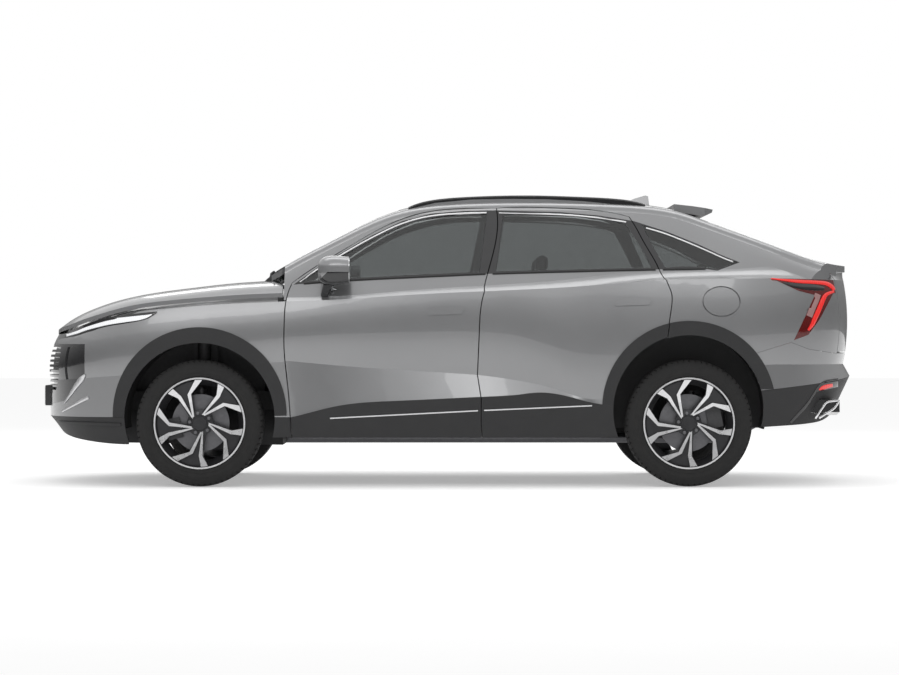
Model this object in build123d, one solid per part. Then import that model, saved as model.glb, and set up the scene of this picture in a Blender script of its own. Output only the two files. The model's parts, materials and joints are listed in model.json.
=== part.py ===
from build123d import *
import math
import os

from scipy.interpolate import PchipInterpolator

# Coupe sport utility vehicle, in millimetres. The origin is on the ground under the middle of the car.
# The front points along -X, the left-hand side along -Y and +Z is up.

# Overall layout
WHEELBASE = 2800
FRONT_AXLE_X = -1420
REAR_AXLE_X = FRONT_AXLE_X + WHEELBASE
TRACK = 1612
HALF_WIDTH = 935
NOSE_X = -2378
TAIL_X = 2388

# Plan outline: straight flanks that close into superellipse ends
NOSE_START_X, NOSE_ALONG, NOSE_ACROSS = -1450, 3.0, 2.2
TAIL_START_X, TAIL_ALONG, TAIL_ACROSS = 1250, 3.5, 3.0

# Wheels, 235/55 R19
TYRE_R, TYRE_W = 364, 236
RIM_R, RIM_W = 262, 205
WHEEL_Y = TRACK / 2
STEER_Y = WHEEL_Y - 41
KINGPIN_R, KINGPIN_PLAY = 14, 0.08
AXLE_R, AXLE_PLAY = 25, 0.05
DISC_R, DISC_T, DISC_Y = 165, 22, 8

# Wheel arches: the opening and the outer edge of its dark surround, each a circle over the axle
FRONT_ARCH = (431, 393)
FRONT_SURROUND = (499, 415)
REAR_ARCH = (428, 440)
REAR_SURROUND = (497, 453)
LINER_R, LINER_T = 440, 6
HOUSE_Y = 600
GRILLE_LOW_Z, GRILLE_TOP_Z, GRILLE_T = 530, 812, 30
GRILLE_BARS = 9
GRILLE_PITCH = (GRILLE_TOP_Z - GRILLE_LOW_Z) / (GRILLE_BARS + 0.6)
GRILLE_SLOT = 17
WHEELHOUSE_Y = 466

# Panel thicknesses and gaps
SHUT_GAP = 6
FIXED_GAP = 1.5
SKIN = 26
DOOR_DEPTH = 100
FRAME_T = 30
PILLAR_T = 60
FENDER_T = 14
FASCIA_T = 30
ROOF_T = 36
GLASS_T = 5
GLASS_SET_IN = 3
GLASS_GAP = 0.5
BONNET_T = 24
CLADDING_T = 8
COVER_GAP = 0.4
STOP_GAP = 0.3
EDGE_TAPER = 0.38


def through(*points):
    """A smooth function of x through the given (x, value) points, level past both ends."""
    xs = [p[0] for p in points]
    curve = PchipInterpolator(xs, [p[1] for p in points])
    return lambda x: float(curve(min(max(x, xs[0]), xs[-1])))


# Body side creases, each as a height over the ground and a distance in from the plan outline
BOTTOM_Z = through((-2390, 335), (-2300, 292), (-2100, 258), (-1850, 242), (-1400, 255), (-950, 283),
                   (850, 283), (1300, 300), (1800, 340), (2200, 365), (2390, 430))
BOTTOM_IN = through((-2390, 70), (-2100, 50), (-1850, 40), (-950, 45), (850, 45), (1800, 50), (2200, 85),
                    (2390, 100))
ROCKER_Z = through((-2390, 395), (-1850, 400), (-820, 410), (-625, 466), (175, 515), (640, 536), (840, 478),
                   (1000, 470), (1500, 520), (1860, 559), (2200, 600), (2390, 632))
ROCKER_IN = through((-2390, 2), (-1850, 8), (-950, 20), (-625, 8), (175, 4), (640, 10), (840, 16), (1500, 8),
                    (1860, 4), (2390, 0))
SCOOP_Z = through((-2390, 600), (-1850, 640), (-1200, 700), (-885, 716), (-588, 691), (-91, 658), (175, 640),
                  (343, 621), (467, 592), (640, 556), (840, 500), (1000, 540), (1500, 660), (1860, 700),
                  (2390, 700))
SCOOP_IN = through((-2390, 0), (-1850, 4), (-1100, 12), (-885, 20), (-588, 33), (175, 42), (467, 35),
                   (640, 20), (840, 16), (1100, 10), (1860, 12), (2200, 30), (2390, 40))
SHOULDER_Z = through((-2390, 866), (-2330, 872), (-2217, 890), (-2110, 923), (-2023, 947), (-1773, 1004),
                     (-1420, 1036), (-1100, 1055), (-915, 1061), (-540, 1077), (-146, 1104), (200, 1119),
                     (642, 1140), (970, 1165), (1254, 1185), (1627, 1192), (1846, 1194), (2390, 1188))
SHOULDER_IN = through((-2390, 50), (-2200, 45), (-1850, 38), (-900, 32), (1850, 34), (2200, 36), (2390, 36))
BELT_Z = through((-1100, 1146), (-871, 1162), (-558, 1185), (220, 1221), (645, 1233), (1220, 1247),
                 (1552, 1247), (1850, 1262), (2100, 1270), (2390, 1270))
BELT_IN = through((-1100, 98), (645, 104), (1552, 112), (1850, 118), (2200, 80), (2390, 30))
SIDE_BULGE = 24
SHOULDER_HOLLOW = 6

# Greenhouse: the centre-line profile over the cabin, and the base of the side glass
ROOF_Z = through((-1180, 1160), (-1040, 1233), (-920, 1309), (-800, 1376), (-679, 1440), (-559, 1503),
                 (-438, 1561), (-318, 1608), (-200, 1638), (0, 1661), (250, 1671), (480, 1673), (800, 1667),
                 (1060, 1655), (1247, 1638), (1420, 1588), (1590, 1526), (1789, 1454), (1976, 1382),
                 (2100, 1338), (2220, 1304), (2400, 1274))
BASE_Y = through((-1180, 834), (645, 827), (1500, 811), (1850, 772), (2100, 725), (2400, 700))
TUMBLE = math.tan(math.radians(30))
CANTRAIL_DROP, CANTRAIL_IN, CROWN = 76, 62, 27
GLASS_BULGE = 9
CABIN_STATIONS = [-1180, -1040, -880, -680, -480, -300, -150, 50, 300, 600, 900, 1150, 1320, 1480, 1680,
                  1900, 2080, 2230, 2400]

# Bonnet: the centre-line profile and the shape its section falls to the shut line with
BONNET_Z = through((-2345, 872), (-2305, 900), (-2244, 946), (-2184, 982), (-2124, 1011), (-2004, 1056),
                   (-1883, 1091), (-1763, 1116), (-1582, 1142), (-1402, 1165), (-1221, 1183), (-1119, 1190),
                   (-900, 1200))
BONNET_CORNER_Y = 720
BONNET_REAR_X, BONNET_REAR_SWEEP = -1112, 176

# Tailgate
TAILGATE_X = 1307
TAILGATE_TOP_Y, TAILGATE_LOW_Y = 556, 612
TAILGATE_LOW_Z = 772
HEADER_X = -292


def mirrored(shape):
    """The same piece on the other side of the car."""
    return mirror(shape, about=Plane.XZ)


def both(shape):
    return Compound(children=[*shape.solids(), *mirrored(shape).solids()])


def joined(*shapes):
    first, *rest = shapes
    return first.fuse(*rest) if rest else first


def flank(x):
    """Half-width of the plan outline at x, and its outward normal there."""
    if x < NOSE_START_X:
        start, tip, p, q = NOSE_START_X, NOSE_X, NOSE_ALONG, NOSE_ACROSS
    elif x > TAIL_START_X:
        start, tip, p, q = TAIL_START_X, TAIL_X, TAIL_ALONG, TAIL_ACROSS
    else:
        return HALF_WIDTH, (0.0, 1.0)
    along = min((x - start) / (tip - start), 1.0)
    across = (1 - along**p) ** (1 / q)
    slope_x = p * along ** (p - 1) / (tip - start)
    slope_y = q * across ** (q - 1) / HALF_WIDTH
    size = math.hypot(slope_x, slope_y)
    return HALF_WIDTH * across, (slope_x / size, slope_y / size)


def end_x(y, start, tip, p, q):
    """The x at which the nose or tail of the plan outline has half-width y."""
    return start + (tip - start) * (1 - (y / HALF_WIDTH) ** q) ** (1 / p)


NOSE = (NOSE_START_X, NOSE_X, NOSE_ALONG, NOSE_ACROSS)
TAIL = (TAIL_START_X, TAIL_X, TAIL_ALONG, TAIL_ACROSS)
NOSE_STATIONS = [end_x(y, *NOSE) for y in (0, 180, 360, 520, 660, 770, 850)]
FENDER_STATIONS = [-1820, -1650, -1420, -1200, -1000, -850]
SIDE_STATIONS = [-1030, -850, -600, -300, 0, 200, 400, 600, 850, 1100, 1400, 1650, 1850]
TAIL_STATIONS = [end_x(y, *TAIL) for y in (850, 780, 690, 560, 400, 200, 0)]


def on_outline(x, inset, z):
    """The point at height z that lies inset from the plan outline's point at x."""
    y, (nx, ny) = flank(x)
    return Vector(x - inset * nx, y - inset * ny, z)


def band_section(x, creases, outset, depth):
    """One closed upright section of the body side: outer skin up, inner skin down."""
    def skin(extra):
        points = [on_outline(x, inset + extra, z) for inset, z in creases]
        (i2, z2), (i3, z3) = creases[2], creases[3]
        edges = [Edge.make_line(points[0], points[1]), Edge.make_line(points[1], points[2])]
        side = on_outline(x, (i2 + i3) / 2 + extra - SIDE_BULGE, (z2 + z3) / 2)
        edges.append(Edge.make_three_point_arc(points[2], side, points[3]))
        if len(creases) == 5:
            i4, z4 = creases[4]
            shoulder = on_outline(x, (i3 + i4) / 2 + extra + SHOULDER_HOLLOW,
                                  (z3 + z4) / 2 - SHOULDER_HOLLOW)
            edges.append(Edge.make_three_point_arc(points[3], shoulder, points[4]))
        return points, edges

    outer, outer_edges = skin(-outset)
    inner, inner_edges = skin(depth)
    ends = [Edge.make_line(outer[-1], inner[-1]), Edge.make_line(inner[0], outer[0])]
    return Wire(outer_edges + inner_edges + ends)


def lower_creases(x):
    return [(BOTTOM_IN(x), BOTTOM_Z(x)), (ROCKER_IN(x), ROCKER_Z(x)), (SCOOP_IN(x), SCOOP_Z(x)),
            (SHOULDER_IN(x), SHOULDER_Z(x))]


def nose_band(outset, depth):
    """The right half of the body side from the nose to the front door, up to the bonnet's shut line."""
    return Solid.make_loft([band_section(x, lower_creases(x), outset, depth)
                            for x in NOSE_STATIONS + FENDER_STATIONS])


def side_band(outset, depth):
    """The right half of the body side from the front door to the tail, up to the belt line."""
    def creases(x):
        return [*lower_creases(x), (BELT_IN(x), BELT_Z(x))]

    return Solid.make_loft([band_section(x, creases(x), outset, depth)
                            for x in SIDE_STATIONS + TAIL_STATIONS])


def strip(stations, section):
    """A bar along the body side whose section at x is the polygon section(x) of (inset, height) points."""
    def ring(x):
        return Wire.make_polygon([on_outline(x, inset, z) for inset, z in section(x)], close=True)

    return Solid.make_loft([ring(x) for x in stations])


def cabin(outer, inner, stations=CABIN_STATIONS):
    """The shell over the cabin between two depths under its outer face."""
    def skin(x, depth):
        zr, zb, yb = ROOF_Z(x), BELT_Z(x), BASE_Y(x)
        slant = depth * math.hypot(1, TUMBLE)
        z1, z2 = zr - CANTRAIL_DROP, zr - CROWN
        z0 = min(zb, z1) - 90
        y0, y1 = yb - TUMBLE * (z0 - zb), yb - TUMBLE * (z1 - zb)
        low = Vector(x, y0 - slant, z0)
        rail = Vector(x, y1 - slant, z1 - depth * 0.35)
        eave = Vector(x, y1 - CANTRAIL_IN - depth * 0.35, z2 - depth)
        bulge = Vector(x, (low.Y + rail.Y) / 2 + GLASS_BULGE, (low.Z + rail.Z) / 2)
        corner = Vector(x, (rail.Y + eave.Y) / 2 + 10, (rail.Z + eave.Z) / 2 + 12)
        return low, bulge, rail, corner, eave, Vector(x, 0, zr - depth)

    def flip(v):
        return Vector(v.X, -v.Y, v.Z)

    def ring(x):
        edges = []
        for low, bulge, rail, corner, eave, top in (skin(x, outer), skin(x, inner)):
            edges += [
                Edge.make_three_point_arc(low, bulge, rail),
                Edge.make_three_point_arc(rail, corner, eave),
                Edge.make_three_point_arc(eave, top, flip(eave)),
                Edge.make_three_point_arc(flip(eave), flip(corner), flip(rail)),
                Edge.make_three_point_arc(flip(rail), flip(bulge), flip(low)),
            ]
        a, b = skin(x, outer)[0], skin(x, inner)[0]
        edges += [Edge.make_line(a, b), Edge.make_line(flip(a), flip(b))]
        return Wire(edges)

    return Solid.make_loft([ring(x) for x in stations])


def cabin_side_y(x, z):
    """Half-width of the side glass line at height z."""
    return BASE_Y(x) - TUMBLE * max(z - BELT_Z(x), 0)


def outline(plane_point, *runs):
    """A closed wire of runs of points: two points make a line, more make a smooth curve."""
    edges = []
    for run in runs:
        points = [plane_point(*p) for p in run]
        edges.append(Edge.make_line(*points) if len(points) == 2 else Edge.make_spline(points))
    return Wire(edges)


def side_prism(y0, y1, *runs):
    """What lies inside an outline drawn on the car's side, between two distances from its middle."""
    return extrude(Face(outline(lambda x, z: Vector(x, y0, z), *runs)), amount=y1 - y0, dir=(0, 1, 0))


def side_polygon(y0, y1, *points):
    return extrude(Face(Wire.make_polygon([Vector(x, y0, z) for x, z in points], close=True)),
                   amount=y1 - y0, dir=(0, 1, 0))


def plan_polygon(z0, z1, *points):
    return extrude(Face(Wire.make_polygon([Vector(x, y, z0) for x, y in points], close=True)),
                   amount=z1 - z0, dir=(0, 0, 1))


def front_polygon(x0, x1, *points):
    return extrude(Face(Wire.make_polygon([Vector(x0, y, z) for y, z in points], close=True)),
                   amount=x1 - x0, dir=(1, 0, 0))


def block(x0, x1, y0, y1, z0, z1):
    return Pos((x0 + x1) / 2, (y0 + y1) / 2, (z0 + z1) / 2) * Box(x1 - x0, y1 - y0, z1 - z0)


def rod(a, b, radius):
    """A round bar from a to b."""
    a, b = Vector(*a), Vector(*b)
    return extrude(Plane(a, z_dir=b - a) * Circle(radius), amount=(b - a).length)


def cross_rod(x, y0, y1, z, radius):
    return rod((x, y0, z), (x, y1, z), radius)


def arch_hole(axle_x, arch, extra=0, y0=300, y1=1100):
    radius, z = arch
    return cross_rod(axle_x, y0, y1, z, radius + extra)


def eave_y(x):
    """Half-width of the roof, windscreen and tailgate glass between the pillars."""
    rise = ROOF_Z(x) - CANTRAIL_DROP - BELT_Z(x)
    return BASE_Y(x) - TUMBLE * rise - CANTRAIL_IN - 12


# Full shells that the panels are cut from
DOOR_SKIN = side_band(0, SKIN)
DOOR_CORE = side_band(-SKIN + 2, DOOR_DEPTH)
SIDE_COVER = side_band(CLADDING_T, -COVER_GAP)
NOSE_COVER = nose_band(CLADDING_T, -COVER_GAP)
NOSE_SKIN = nose_band(0, FENDER_T)
NOSE_SHELL = nose_band(0, FASCIA_T)
CABIN_FRAME = cabin(0, FRAME_T)
CABIN_BODY = cabin(0, PILLAR_T)
CABIN_ROOF = cabin(0, ROOF_T)
CABIN_GLASS = cabin(GLASS_SET_IN, GLASS_SET_IN + GLASS_T)
RIGHT_HALF = block(-3000, 3000, 0, 1500, -100, 2000)

# Outlines on the body side as (x, height)
FRONT_DOOR_FRONT = [(-885, 250), (-897, 395), (-908, 543), (-931, 772), (-931, 938), (-914, 1104),
                    (-889, 1168)]
FRONT_DOOR_TOP = [(-889, 1168), (-745, 1270), (-631, 1340), (-447, 1453), (-268, 1541), (-98, 1587),
                  (102, 1603), (280, 1607)]
DOOR_SPLIT = [(280, 1607), (223, 1219), (189, 1047), (174, 899), (172, 707), (178, 546), (188, 372),
              (207, 250)]
REAR_DOOR_TOP = [(280, 1607), (460, 1610), (651, 1606), (871, 1588), (1048, 1556)]
REAR_DOOR_REAR = [(1048, 1556), (1067, 1525), (1126, 1405), (1211, 1243), (1254, 1176), (1274, 1110),
                  (1266, 1012), (1253, 941), (1240, 862), (1236, 780), (1236, 250)]
FRONT_GLASS = [[(-852, 1176), (-556, 1196), (182, 1231)], [(182, 1231), (228, 1574)],
               [(228, 1574), (-49, 1558), (-249, 1507), (-427, 1426), (-603, 1329), (-852, 1176)]]
REAR_GLASS = [[(278, 1236), (645, 1245), (1172, 1257)], [(1172, 1257), (1104, 1390), (1034, 1508)],
              [(1034, 1508), (874, 1556), (653, 1577), (322, 1580)], [(322, 1580), (278, 1236)]]
QUARTER_GLASS = [[(1250, 1258), (1480, 1258), (1545, 1248)], [(1545, 1248), (1668, 1287)],
                 [(1668, 1287), (1583, 1321), (1445, 1389), (1272, 1461), (1125, 1508)],
                 [(1125, 1508), (1176, 1398), (1250, 1258)]]
HEADLAMP = [(-2420, 818), (-2300, 820), (-2200, 838), (-2080, 878), (-1960, 925), (-1773, 1003),
            (-1773, 1080), (-2420, 1000)]
TAIL_LAMP = [(1857, 1194), (2194, 1189), (2420, 1186), (2420, 1125), (2237, 1112), (2141, 956), (2072, 870),
             (1986, 840), (2044, 956), (2116, 1100), (2016, 1123)]
FUEL_FLAP = (1564, 1061, 103, 82)
BUMPER_SPLIT = [(-2500, 900), (-2080, 900), (-1950, 880), (-1830, 640), (-1830, 200), (-2500, 200)]
REAR_BUMPER_TOP = [(1700, 756), (1770, 766), (1968, 826), (2080, 786), (2260, 762), (2500, 760)]


def surface_y(x, z):
    """How far the outer face of the body side lies from the middle of the car."""
    if z > BELT_Z(x):
        return cabin_side_y(x, z)
    low, high = SHOULDER_Z(x), BELT_Z(x)
    part = min(max((z - low) / (high - low), 0), 1)
    return 912 + part * (BASE_Y(x) - 912)


def door_prism(front, top, rear, front_taper, grow):
    """What lies inside a door's outline, its edges leaning in with depth so that it swings clear."""
    def wire(y):
        def lean(x, z, taper):
            return Vector(x - taper * (surface_y(x, z) - y), y, z)

        front_edge = [lean(x - grow, z, front_taper) for x, z in front]
        rear_edge = [lean(x + grow, z, EDGE_TAPER) for x, z in rear]
        top_edge = [front_edge[-1], *[Vector(x, y, z + grow) for x, z in top[1:-1]], rear_edge[0]]
        return Wire([Edge.make_spline(front_edge), Edge.make_spline(top_edge), Edge.make_spline(rear_edge),
                     Edge.make_line(rear_edge[-1], front_edge[0])])

    return Solid.make_loft([wire(480), wire(1000)], ruled=True)


def shifted(run, dx, dz=0):
    return [(x + dx, z + dz) for x, z in run]


REAR_DOOR_FRONT = shifted(DOOR_SPLIT[::-1], SHUT_GAP)
REAR_ARCH_HOLE = arch_hole(REAR_AXLE_X, REAR_ARCH)
FRONT_ARCH_HOLE = arch_hole(FRONT_AXLE_X, FRONT_ARCH)
FRONT_DOOR = door_prism(FRONT_DOOR_FRONT, FRONT_DOOR_TOP, DOOR_SPLIT, 0, 0)
REAR_DOOR = door_prism(REAR_DOOR_FRONT, REAR_DOOR_TOP, REAR_DOOR_REAR, EDGE_TAPER, 0)
DOOR_HOLES = [door_prism(FRONT_DOOR_FRONT, FRONT_DOOR_TOP, DOOR_SPLIT, 0, SHUT_GAP),
              door_prism(REAR_DOOR_FRONT, REAR_DOOR_TOP, REAR_DOOR_REAR, EDGE_TAPER, SHUT_GAP)]


def below_rocker(stations):
    return strip(stations, lambda x: [(-60, 100), (200, 100), (200, ROCKER_Z(x)), (-60, ROCKER_Z(x))])


def ring_over(axle_x, arch, surround, low):
    """The dark surround of a wheel arch as a region on the side, above height low."""
    ring = arch_hole(axle_x, surround, y0=700) - arch_hole(axle_x, arch, y0=700)
    return ring - block(axle_x - 600, axle_x + 600, 600, 1200, 0, low)


# Doors, right-hand side
def door(prism, core, frame_window, arch=None):
    skin = DOOR_SKIN & prism
    inner = DOOR_CORE & side_polygon(500, 1000, *core)
    frame = (CABIN_FRAME & prism & RIGHT_HALF) - side_prism(300, 1100, *frame_window)
    whole = joined(skin, inner, frame)
    return whole - arch if arch else whole


def pane(runs):
    """A side window that fills its opening up to the glazing gap."""
    points = [p for run in runs for p in run[:-1]]
    cx = sum(p[0] for p in points) / len(points)
    cz = sum(p[1] for p in points) / len(points)

    def shrink(x, z):
        size = math.hypot(x - cx, z - cz)
        keep = 1 - 2 * GLASS_GAP / size
        return cx + (x - cx) * keep, cz + (z - cz) * keep

    return CABIN_GLASS & side_prism(300, 1100, *[[shrink(*p) for p in run] for run in runs]) & RIGHT_HALF


def door_cladding(prism, stations):
    return SIDE_COVER & prism & below_rocker(stations)


front_core = [(-820, 420), (60, 420), (60, 1190), (-560, 1160), (-820, 1135)]
rear_core = [(300, 420), (860, 420), (900, 640), (1050, 860), (1150, 960), (1150, 1200), (300, 1190)]
front_door = door(FRONT_DOOR, front_core, FRONT_GLASS)
rear_door = door(REAR_DOOR, rear_core, REAR_GLASS, arch_hole(REAR_AXLE_X, REAR_ARCH, SHUT_GAP))
front_window = pane(FRONT_GLASS)
rear_window = pane(REAR_GLASS)

front_cladding = door_cladding(FRONT_DOOR, SIDE_STATIONS)
rear_cladding = (SIDE_COVER & REAR_DOOR) & joined(
    below_rocker(SIDE_STATIONS), ring_over(REAR_AXLE_X, REAR_ARCH, REAR_SURROUND, 300))
rear_cladding = rear_cladding - arch_hole(REAR_AXLE_X, REAR_ARCH, SHUT_GAP)


def handle(x0, x1, z0, z1):
    """A flush pull handle that stands proud of the door skin."""
    slant = 26
    shape = side_polygon(800, 1000, (x0, z0), (x1 - slant, z0 + 6), (x1, z1), (x0 + slant, z1 - 6))
    return side_band(9, -COVER_GAP) & fillet(shape.edges().filter_by(Axis.Y), 12)


def door_mirror():
    """The mirror housing on its stalk, at the front corner of the door glass."""
    def ring(x, y, z, width, height):
        plane = Plane((x, y, z), x_dir=(0, 1, 0), z_dir=(1, 0, 0))
        return plane * RectangleRounded(width, height, height * 0.4)

    housing = loft([ring(-736, 990, 1236, 110, 90), ring(-700, 992, 1236, 190, 150),
                    ring(-640, 994, 1237, 220, 164), ring(-560, 990, 1238, 206, 150)])
    stalk = loft([Plane((-706, 868, 1128), z_dir=(0, 1, 0.35)) * RectangleRounded(90, 44, 14),
                  Plane((-680, 962, 1186), z_dir=(0, 1, 0.8)) * RectangleRounded(84, 60, 16)])
    return joined(housing, stalk)


mirror_housing = door_mirror() - side_band(COVER_GAP, SKIN)
mirror_housing = mirror_housing - cabin(-COVER_GAP, FRAME_T, [-1000, -800, -600, -400])
front_handle = handle(-126, 105, 983, 1032)
rear_handle = handle(946, 1176, 1036, 1086)

# Fixed greenhouse: side frame, roof, windscreen and quarter glass
top_xs = [-1150, -1040, -900, -700, -500, HEADER_X, -100, 200, 600, 1000, TAILGATE_X]


def top_prism(x0, x1, inset):
    """The plan region between the pillars from x0 to x1, over the whole height of the cabin."""
    xs = [x0, *[x for x in top_xs if x0 < x < x1], x1]
    right = [(x, eave_y(x) - inset) for x in xs]
    left = [(x, -y) for x, y in reversed(right)]
    def point(x, y):
        return Vector(x, y, 900)

    wire = outline(point, right, [right[-1], left[0]], left, [left[-1], right[0]])
    return extrude(Face(wire), amount=1000, dir=(0, 0, 1))


def tailgate_prism(grow):
    x0, top, low = TAILGATE_X - grow, TAILGATE_TOP_Y + grow, TAILGATE_LOW_Y + grow
    return plan_polygon(TAILGATE_LOW_Z - grow, 1900, (x0, -top), (2600, -low), (2600, low), (x0, top))


def tail_trim(inset):
    """The plan region ahead of the tail, set in from the plan outline."""
    edge = [on_outline(x, inset, 0) for x in TAIL_STATIONS]
    right = [(p.X, p.Y) for p in edge]
    left = [(x, -y) for x, y in reversed(right[:-1])]
    start = right[0][1]
    def point(x, y):
        return Vector(x, y, 600)

    wire = outline(point, right + left, [left[-1], (-1300, -start - 90)],
                   [(-1300, -start - 90), (-1300, start + 90)], [(-1300, start + 90), right[0]])
    return extrude(Face(wire), amount=1300, dir=(0, 0, 1))


def windscreen_front(y, dx):
    return BONNET_REAR_X + BONNET_REAR_SWEEP * (y / 800) ** 2 + dx


def swept(dx, y=900):
    """The line across the car that the bonnet's rear edge follows, moved back by dx."""
    return [(windscreen_front(v, dx), v) for v in (-y, -y / 2, 0, y / 2, y)]


def ahead_of(dx):
    """The plan region ahead of the swept line."""
    line = swept(dx)
    def point(x, y):
        return Vector(x, y, 700)

    wire = outline(point, line, [line[-1], (-2700, 900)], [(-2700, 900), (-2700, -900)],
                   [(-2700, -900), line[0]])
    return extrude(Face(wire), amount=1000, dir=(0, 0, 1))


TAIL_TRIM = tail_trim(28)
roof_panel = CABIN_ROOF & top_prism(HEADER_X + FIXED_GAP, TAILGATE_X - SHUT_GAP, FIXED_GAP)
windscreen = (CABIN_GLASS & top_prism(-1150, HEADER_X - FIXED_GAP, FIXED_GAP)) - ahead_of(34)
cowl = cabin(GLASS_SET_IN + GLASS_T + 1, 44) & top_prism(-1150, -700, 4)
cowl = cowl & (ahead_of(90) - ahead_of(SHUT_GAP + 4))
quarter_glass = pane(QUARTER_GLASS)

tail_lamp_region = side_polygon(TAILGATE_LOW_Y + SHUT_GAP + 2, 1000, *TAIL_LAMP)
rear_low = [(1600, 100), *REAR_BUMPER_TOP, (2600, 100)]
rear_side_cut = side_polygon(0, 1200, (1600, 100), *shifted(REAR_BUMPER_TOP, 0, FIXED_GAP), (2600, 100))
flap_x, flap_z, flap_a, flap_b = FUEL_FLAP


def flap_region(grow, y0, y1):
    plane = Plane((flap_x, y0, flap_z), x_dir=(1, 0, 0), z_dir=(0, 1, 0))
    shape = plane * Ellipse(flap_a + grow, flap_b + grow)
    return extrude(shape, amount=y1 - y0)


def arch_liner(axle_x, z, y0, y1):
    """A thin half tunnel over a wheel."""
    tunnel = cross_rod(axle_x, y0, y1, z, LINER_R + LINER_T) - cross_rod(axle_x, y0 - 1, y1 + 1, z, LINER_R)
    return tunnel - block(axle_x - 600, axle_x + 600, 0, 1200, -200, 330)


def largest(shape):
    return max(shape.solids(), key=lambda solid: solid.volume)


def body_side():
    """One side frame: pillars, sill, roof edge and rear quarter, with the door openings cut."""
    upper = (CABIN_BODY & RIGHT_HALF & TAIL_TRIM) - block(-3000, -938, 0, 1000, 0, 2000)
    upper = upper - top_prism(-1150, TAILGATE_X + 20, 0) - tailgate_prism(SHUT_GAP)
    for hole in DOOR_HOLES:
        upper = upper - hole
    upper = upper - side_prism(300, 1100, *QUARTER_GLASS) - tail_lamp_region
    quarter = DOOR_SKIN - block(-2000, 900, 0, 1000, 0, 2000) - REAR_ARCH_HOLE - rear_side_cut
    quarter = quarter - DOOR_HOLES[1] - tailgate_prism(SHUT_GAP) - tail_lamp_region
    pillar = (cabin(FRAME_T + 8, PILLAR_T + 2, [-100, 150, 300, 500]) & RIGHT_HALF) & side_polygon(
        560, 1000, (110, 1130), (262, 1130), (345, 1640), (215, 1640))
    post = block(105, 262, 705, 775, 300, 1190)
    hinge_post = joined(block(-925, -850, 690, 770, 300, 1060), block(-936, -850, 760, 788, 1000, 1162))
    sill = block(-925, 950, 690, 800, 296, 404)
    house = arch_liner(REAR_AXLE_X, REAR_ARCH[1], HOUSE_Y, 872) - side_band(60, FASCIA_T + 2)
    cheek = cross_rod(REAR_AXLE_X, HOUSE_Y, HOUSE_Y + LINER_T, REAR_ARCH[1], LINER_R + LINER_T)
    cheek = cheek - block(REAR_AXLE_X - 600, REAR_AXLE_X + 600, 0, 1200, -200, 330)
    cheek = cheek - block(REAR_AXLE_X - 110, REAR_AXLE_X + 220, 0, 1200, 0, 560)
    lip = (arch_liner(REAR_AXLE_X, REAR_ARCH[1], 860, 912)
           & block(1300, 1640, 800, 1000, 800, 1200)) - side_band(60, 3)
    return joined(upper, quarter, pillar, post, hinge_post, sill, house, cheek, lip)


side_frame = body_side()
fuel_flap = (side_band(0, 12) & flap_region(0, 700, 1000))
left_frame = mirrored(side_frame - (flap_region(SHUT_GAP, 700, 1000) & side_band(20, 19)))

# Tailgate, its glass and spoiler
TAIL_SKIN = joined(side_band(0, 38), mirrored(side_band(0, 38)))
rear_glass_region = plan_polygon(900, 1900, (1452, -512), (2050, -548), (2050, 548), (1452, 512))
tailgate_top = (CABIN_ROOF & tailgate_prism(0) & TAIL_TRIM) - rear_glass_region
tailgate_back = (TAIL_SKIN & tailgate_prism(0)) - block(-3000, 2000, -1000, 1000, 0, 2000)
tailgate = joined(tailgate_top, tailgate_back)
tailgate_glass = CABIN_GLASS & plan_polygon(900, 1900, (1453, -511), (2049, -547), (2049, 547), (1453, 511))
spoiler_profile = [(TAILGATE_X + 14, 1634), (1430, 1622), (1552, 1604), (1546, 1586), (1470, 1566),
                   (TAILGATE_X + 14, 1590)]
spoiler = (side_polygon(-548, 548, *spoiler_profile) & plan_polygon(
    1000, 1900, (TAILGATE_X, -546), (1500, -548), (1570, -470), (1570, 470), (1500, 548), (TAILGATE_X, 546)))
spoiler = spoiler - CABIN_ROOF - CABIN_GLASS

# Front end
lamp_cut = side_polygon(0, 1000, *HEADLAMP)
bumper_region = side_polygon(0, 1200, *BUMPER_SPLIT)
fender_edge = shifted(FRONT_DOOR_FRONT, -SHUT_GAP)
fender_region = side_prism(0, 1200, fender_edge, [fender_edge[-1], (-930, 1300)],
                           [(-930, 1300), (-2600, 1300)], [(-2600, 1300), (-2600, 250)],
                           [(-2600, 250), fender_edge[0]])
headlamp = (nose_band(0, 46) & lamp_cut) - block(-3000, -1000, -400, 400, 0, 2000)
fender = largest((NOSE_SKIN & fender_region) - FRONT_ARCH_HOLE - bumper_region - lamp_cut)
grille_region = front_polygon(-2600, -2000, (-540, GRILLE_TOP_Z), (540, GRILLE_TOP_Z), (600, 690),
                               (480, GRILLE_LOW_Z), (-480, GRILLE_LOW_Z), (-600, 690))
intake_region = side_polygon(640, 1000, (-2330, 800), (-2130, 800), (-2110, 640), (-2250, 600), (-2330, 600))
nose_low = below_rocker(NOSE_STATIONS + FENDER_STATIONS)
lamp_hole = lamp_cut - block(-3000, -1000, -400, 400 - FIXED_GAP, 0, 2000)
bumper_half = (NOSE_SHELL & bumper_region) - FRONT_ARCH_HOLE - lamp_hole
bumper_paint = bumper_half - nose_low - grille_region - intake_region
front_bumper = joined(bumper_paint, mirrored(bumper_paint))
valance_half = bumper_half & strip(
    NOSE_STATIONS + FENDER_STATIONS, lambda x: [(-60, 100), (200, 100), (200, ROCKER_Z(x) - 1),
                                                (-60, ROCKER_Z(x) - 1)])
front_valance = joined(valance_half, mirrored(valance_half))
grille_shell = joined(nose_band(-2, GRILLE_T), mirrored(nose_band(-2, GRILLE_T)))
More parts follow.
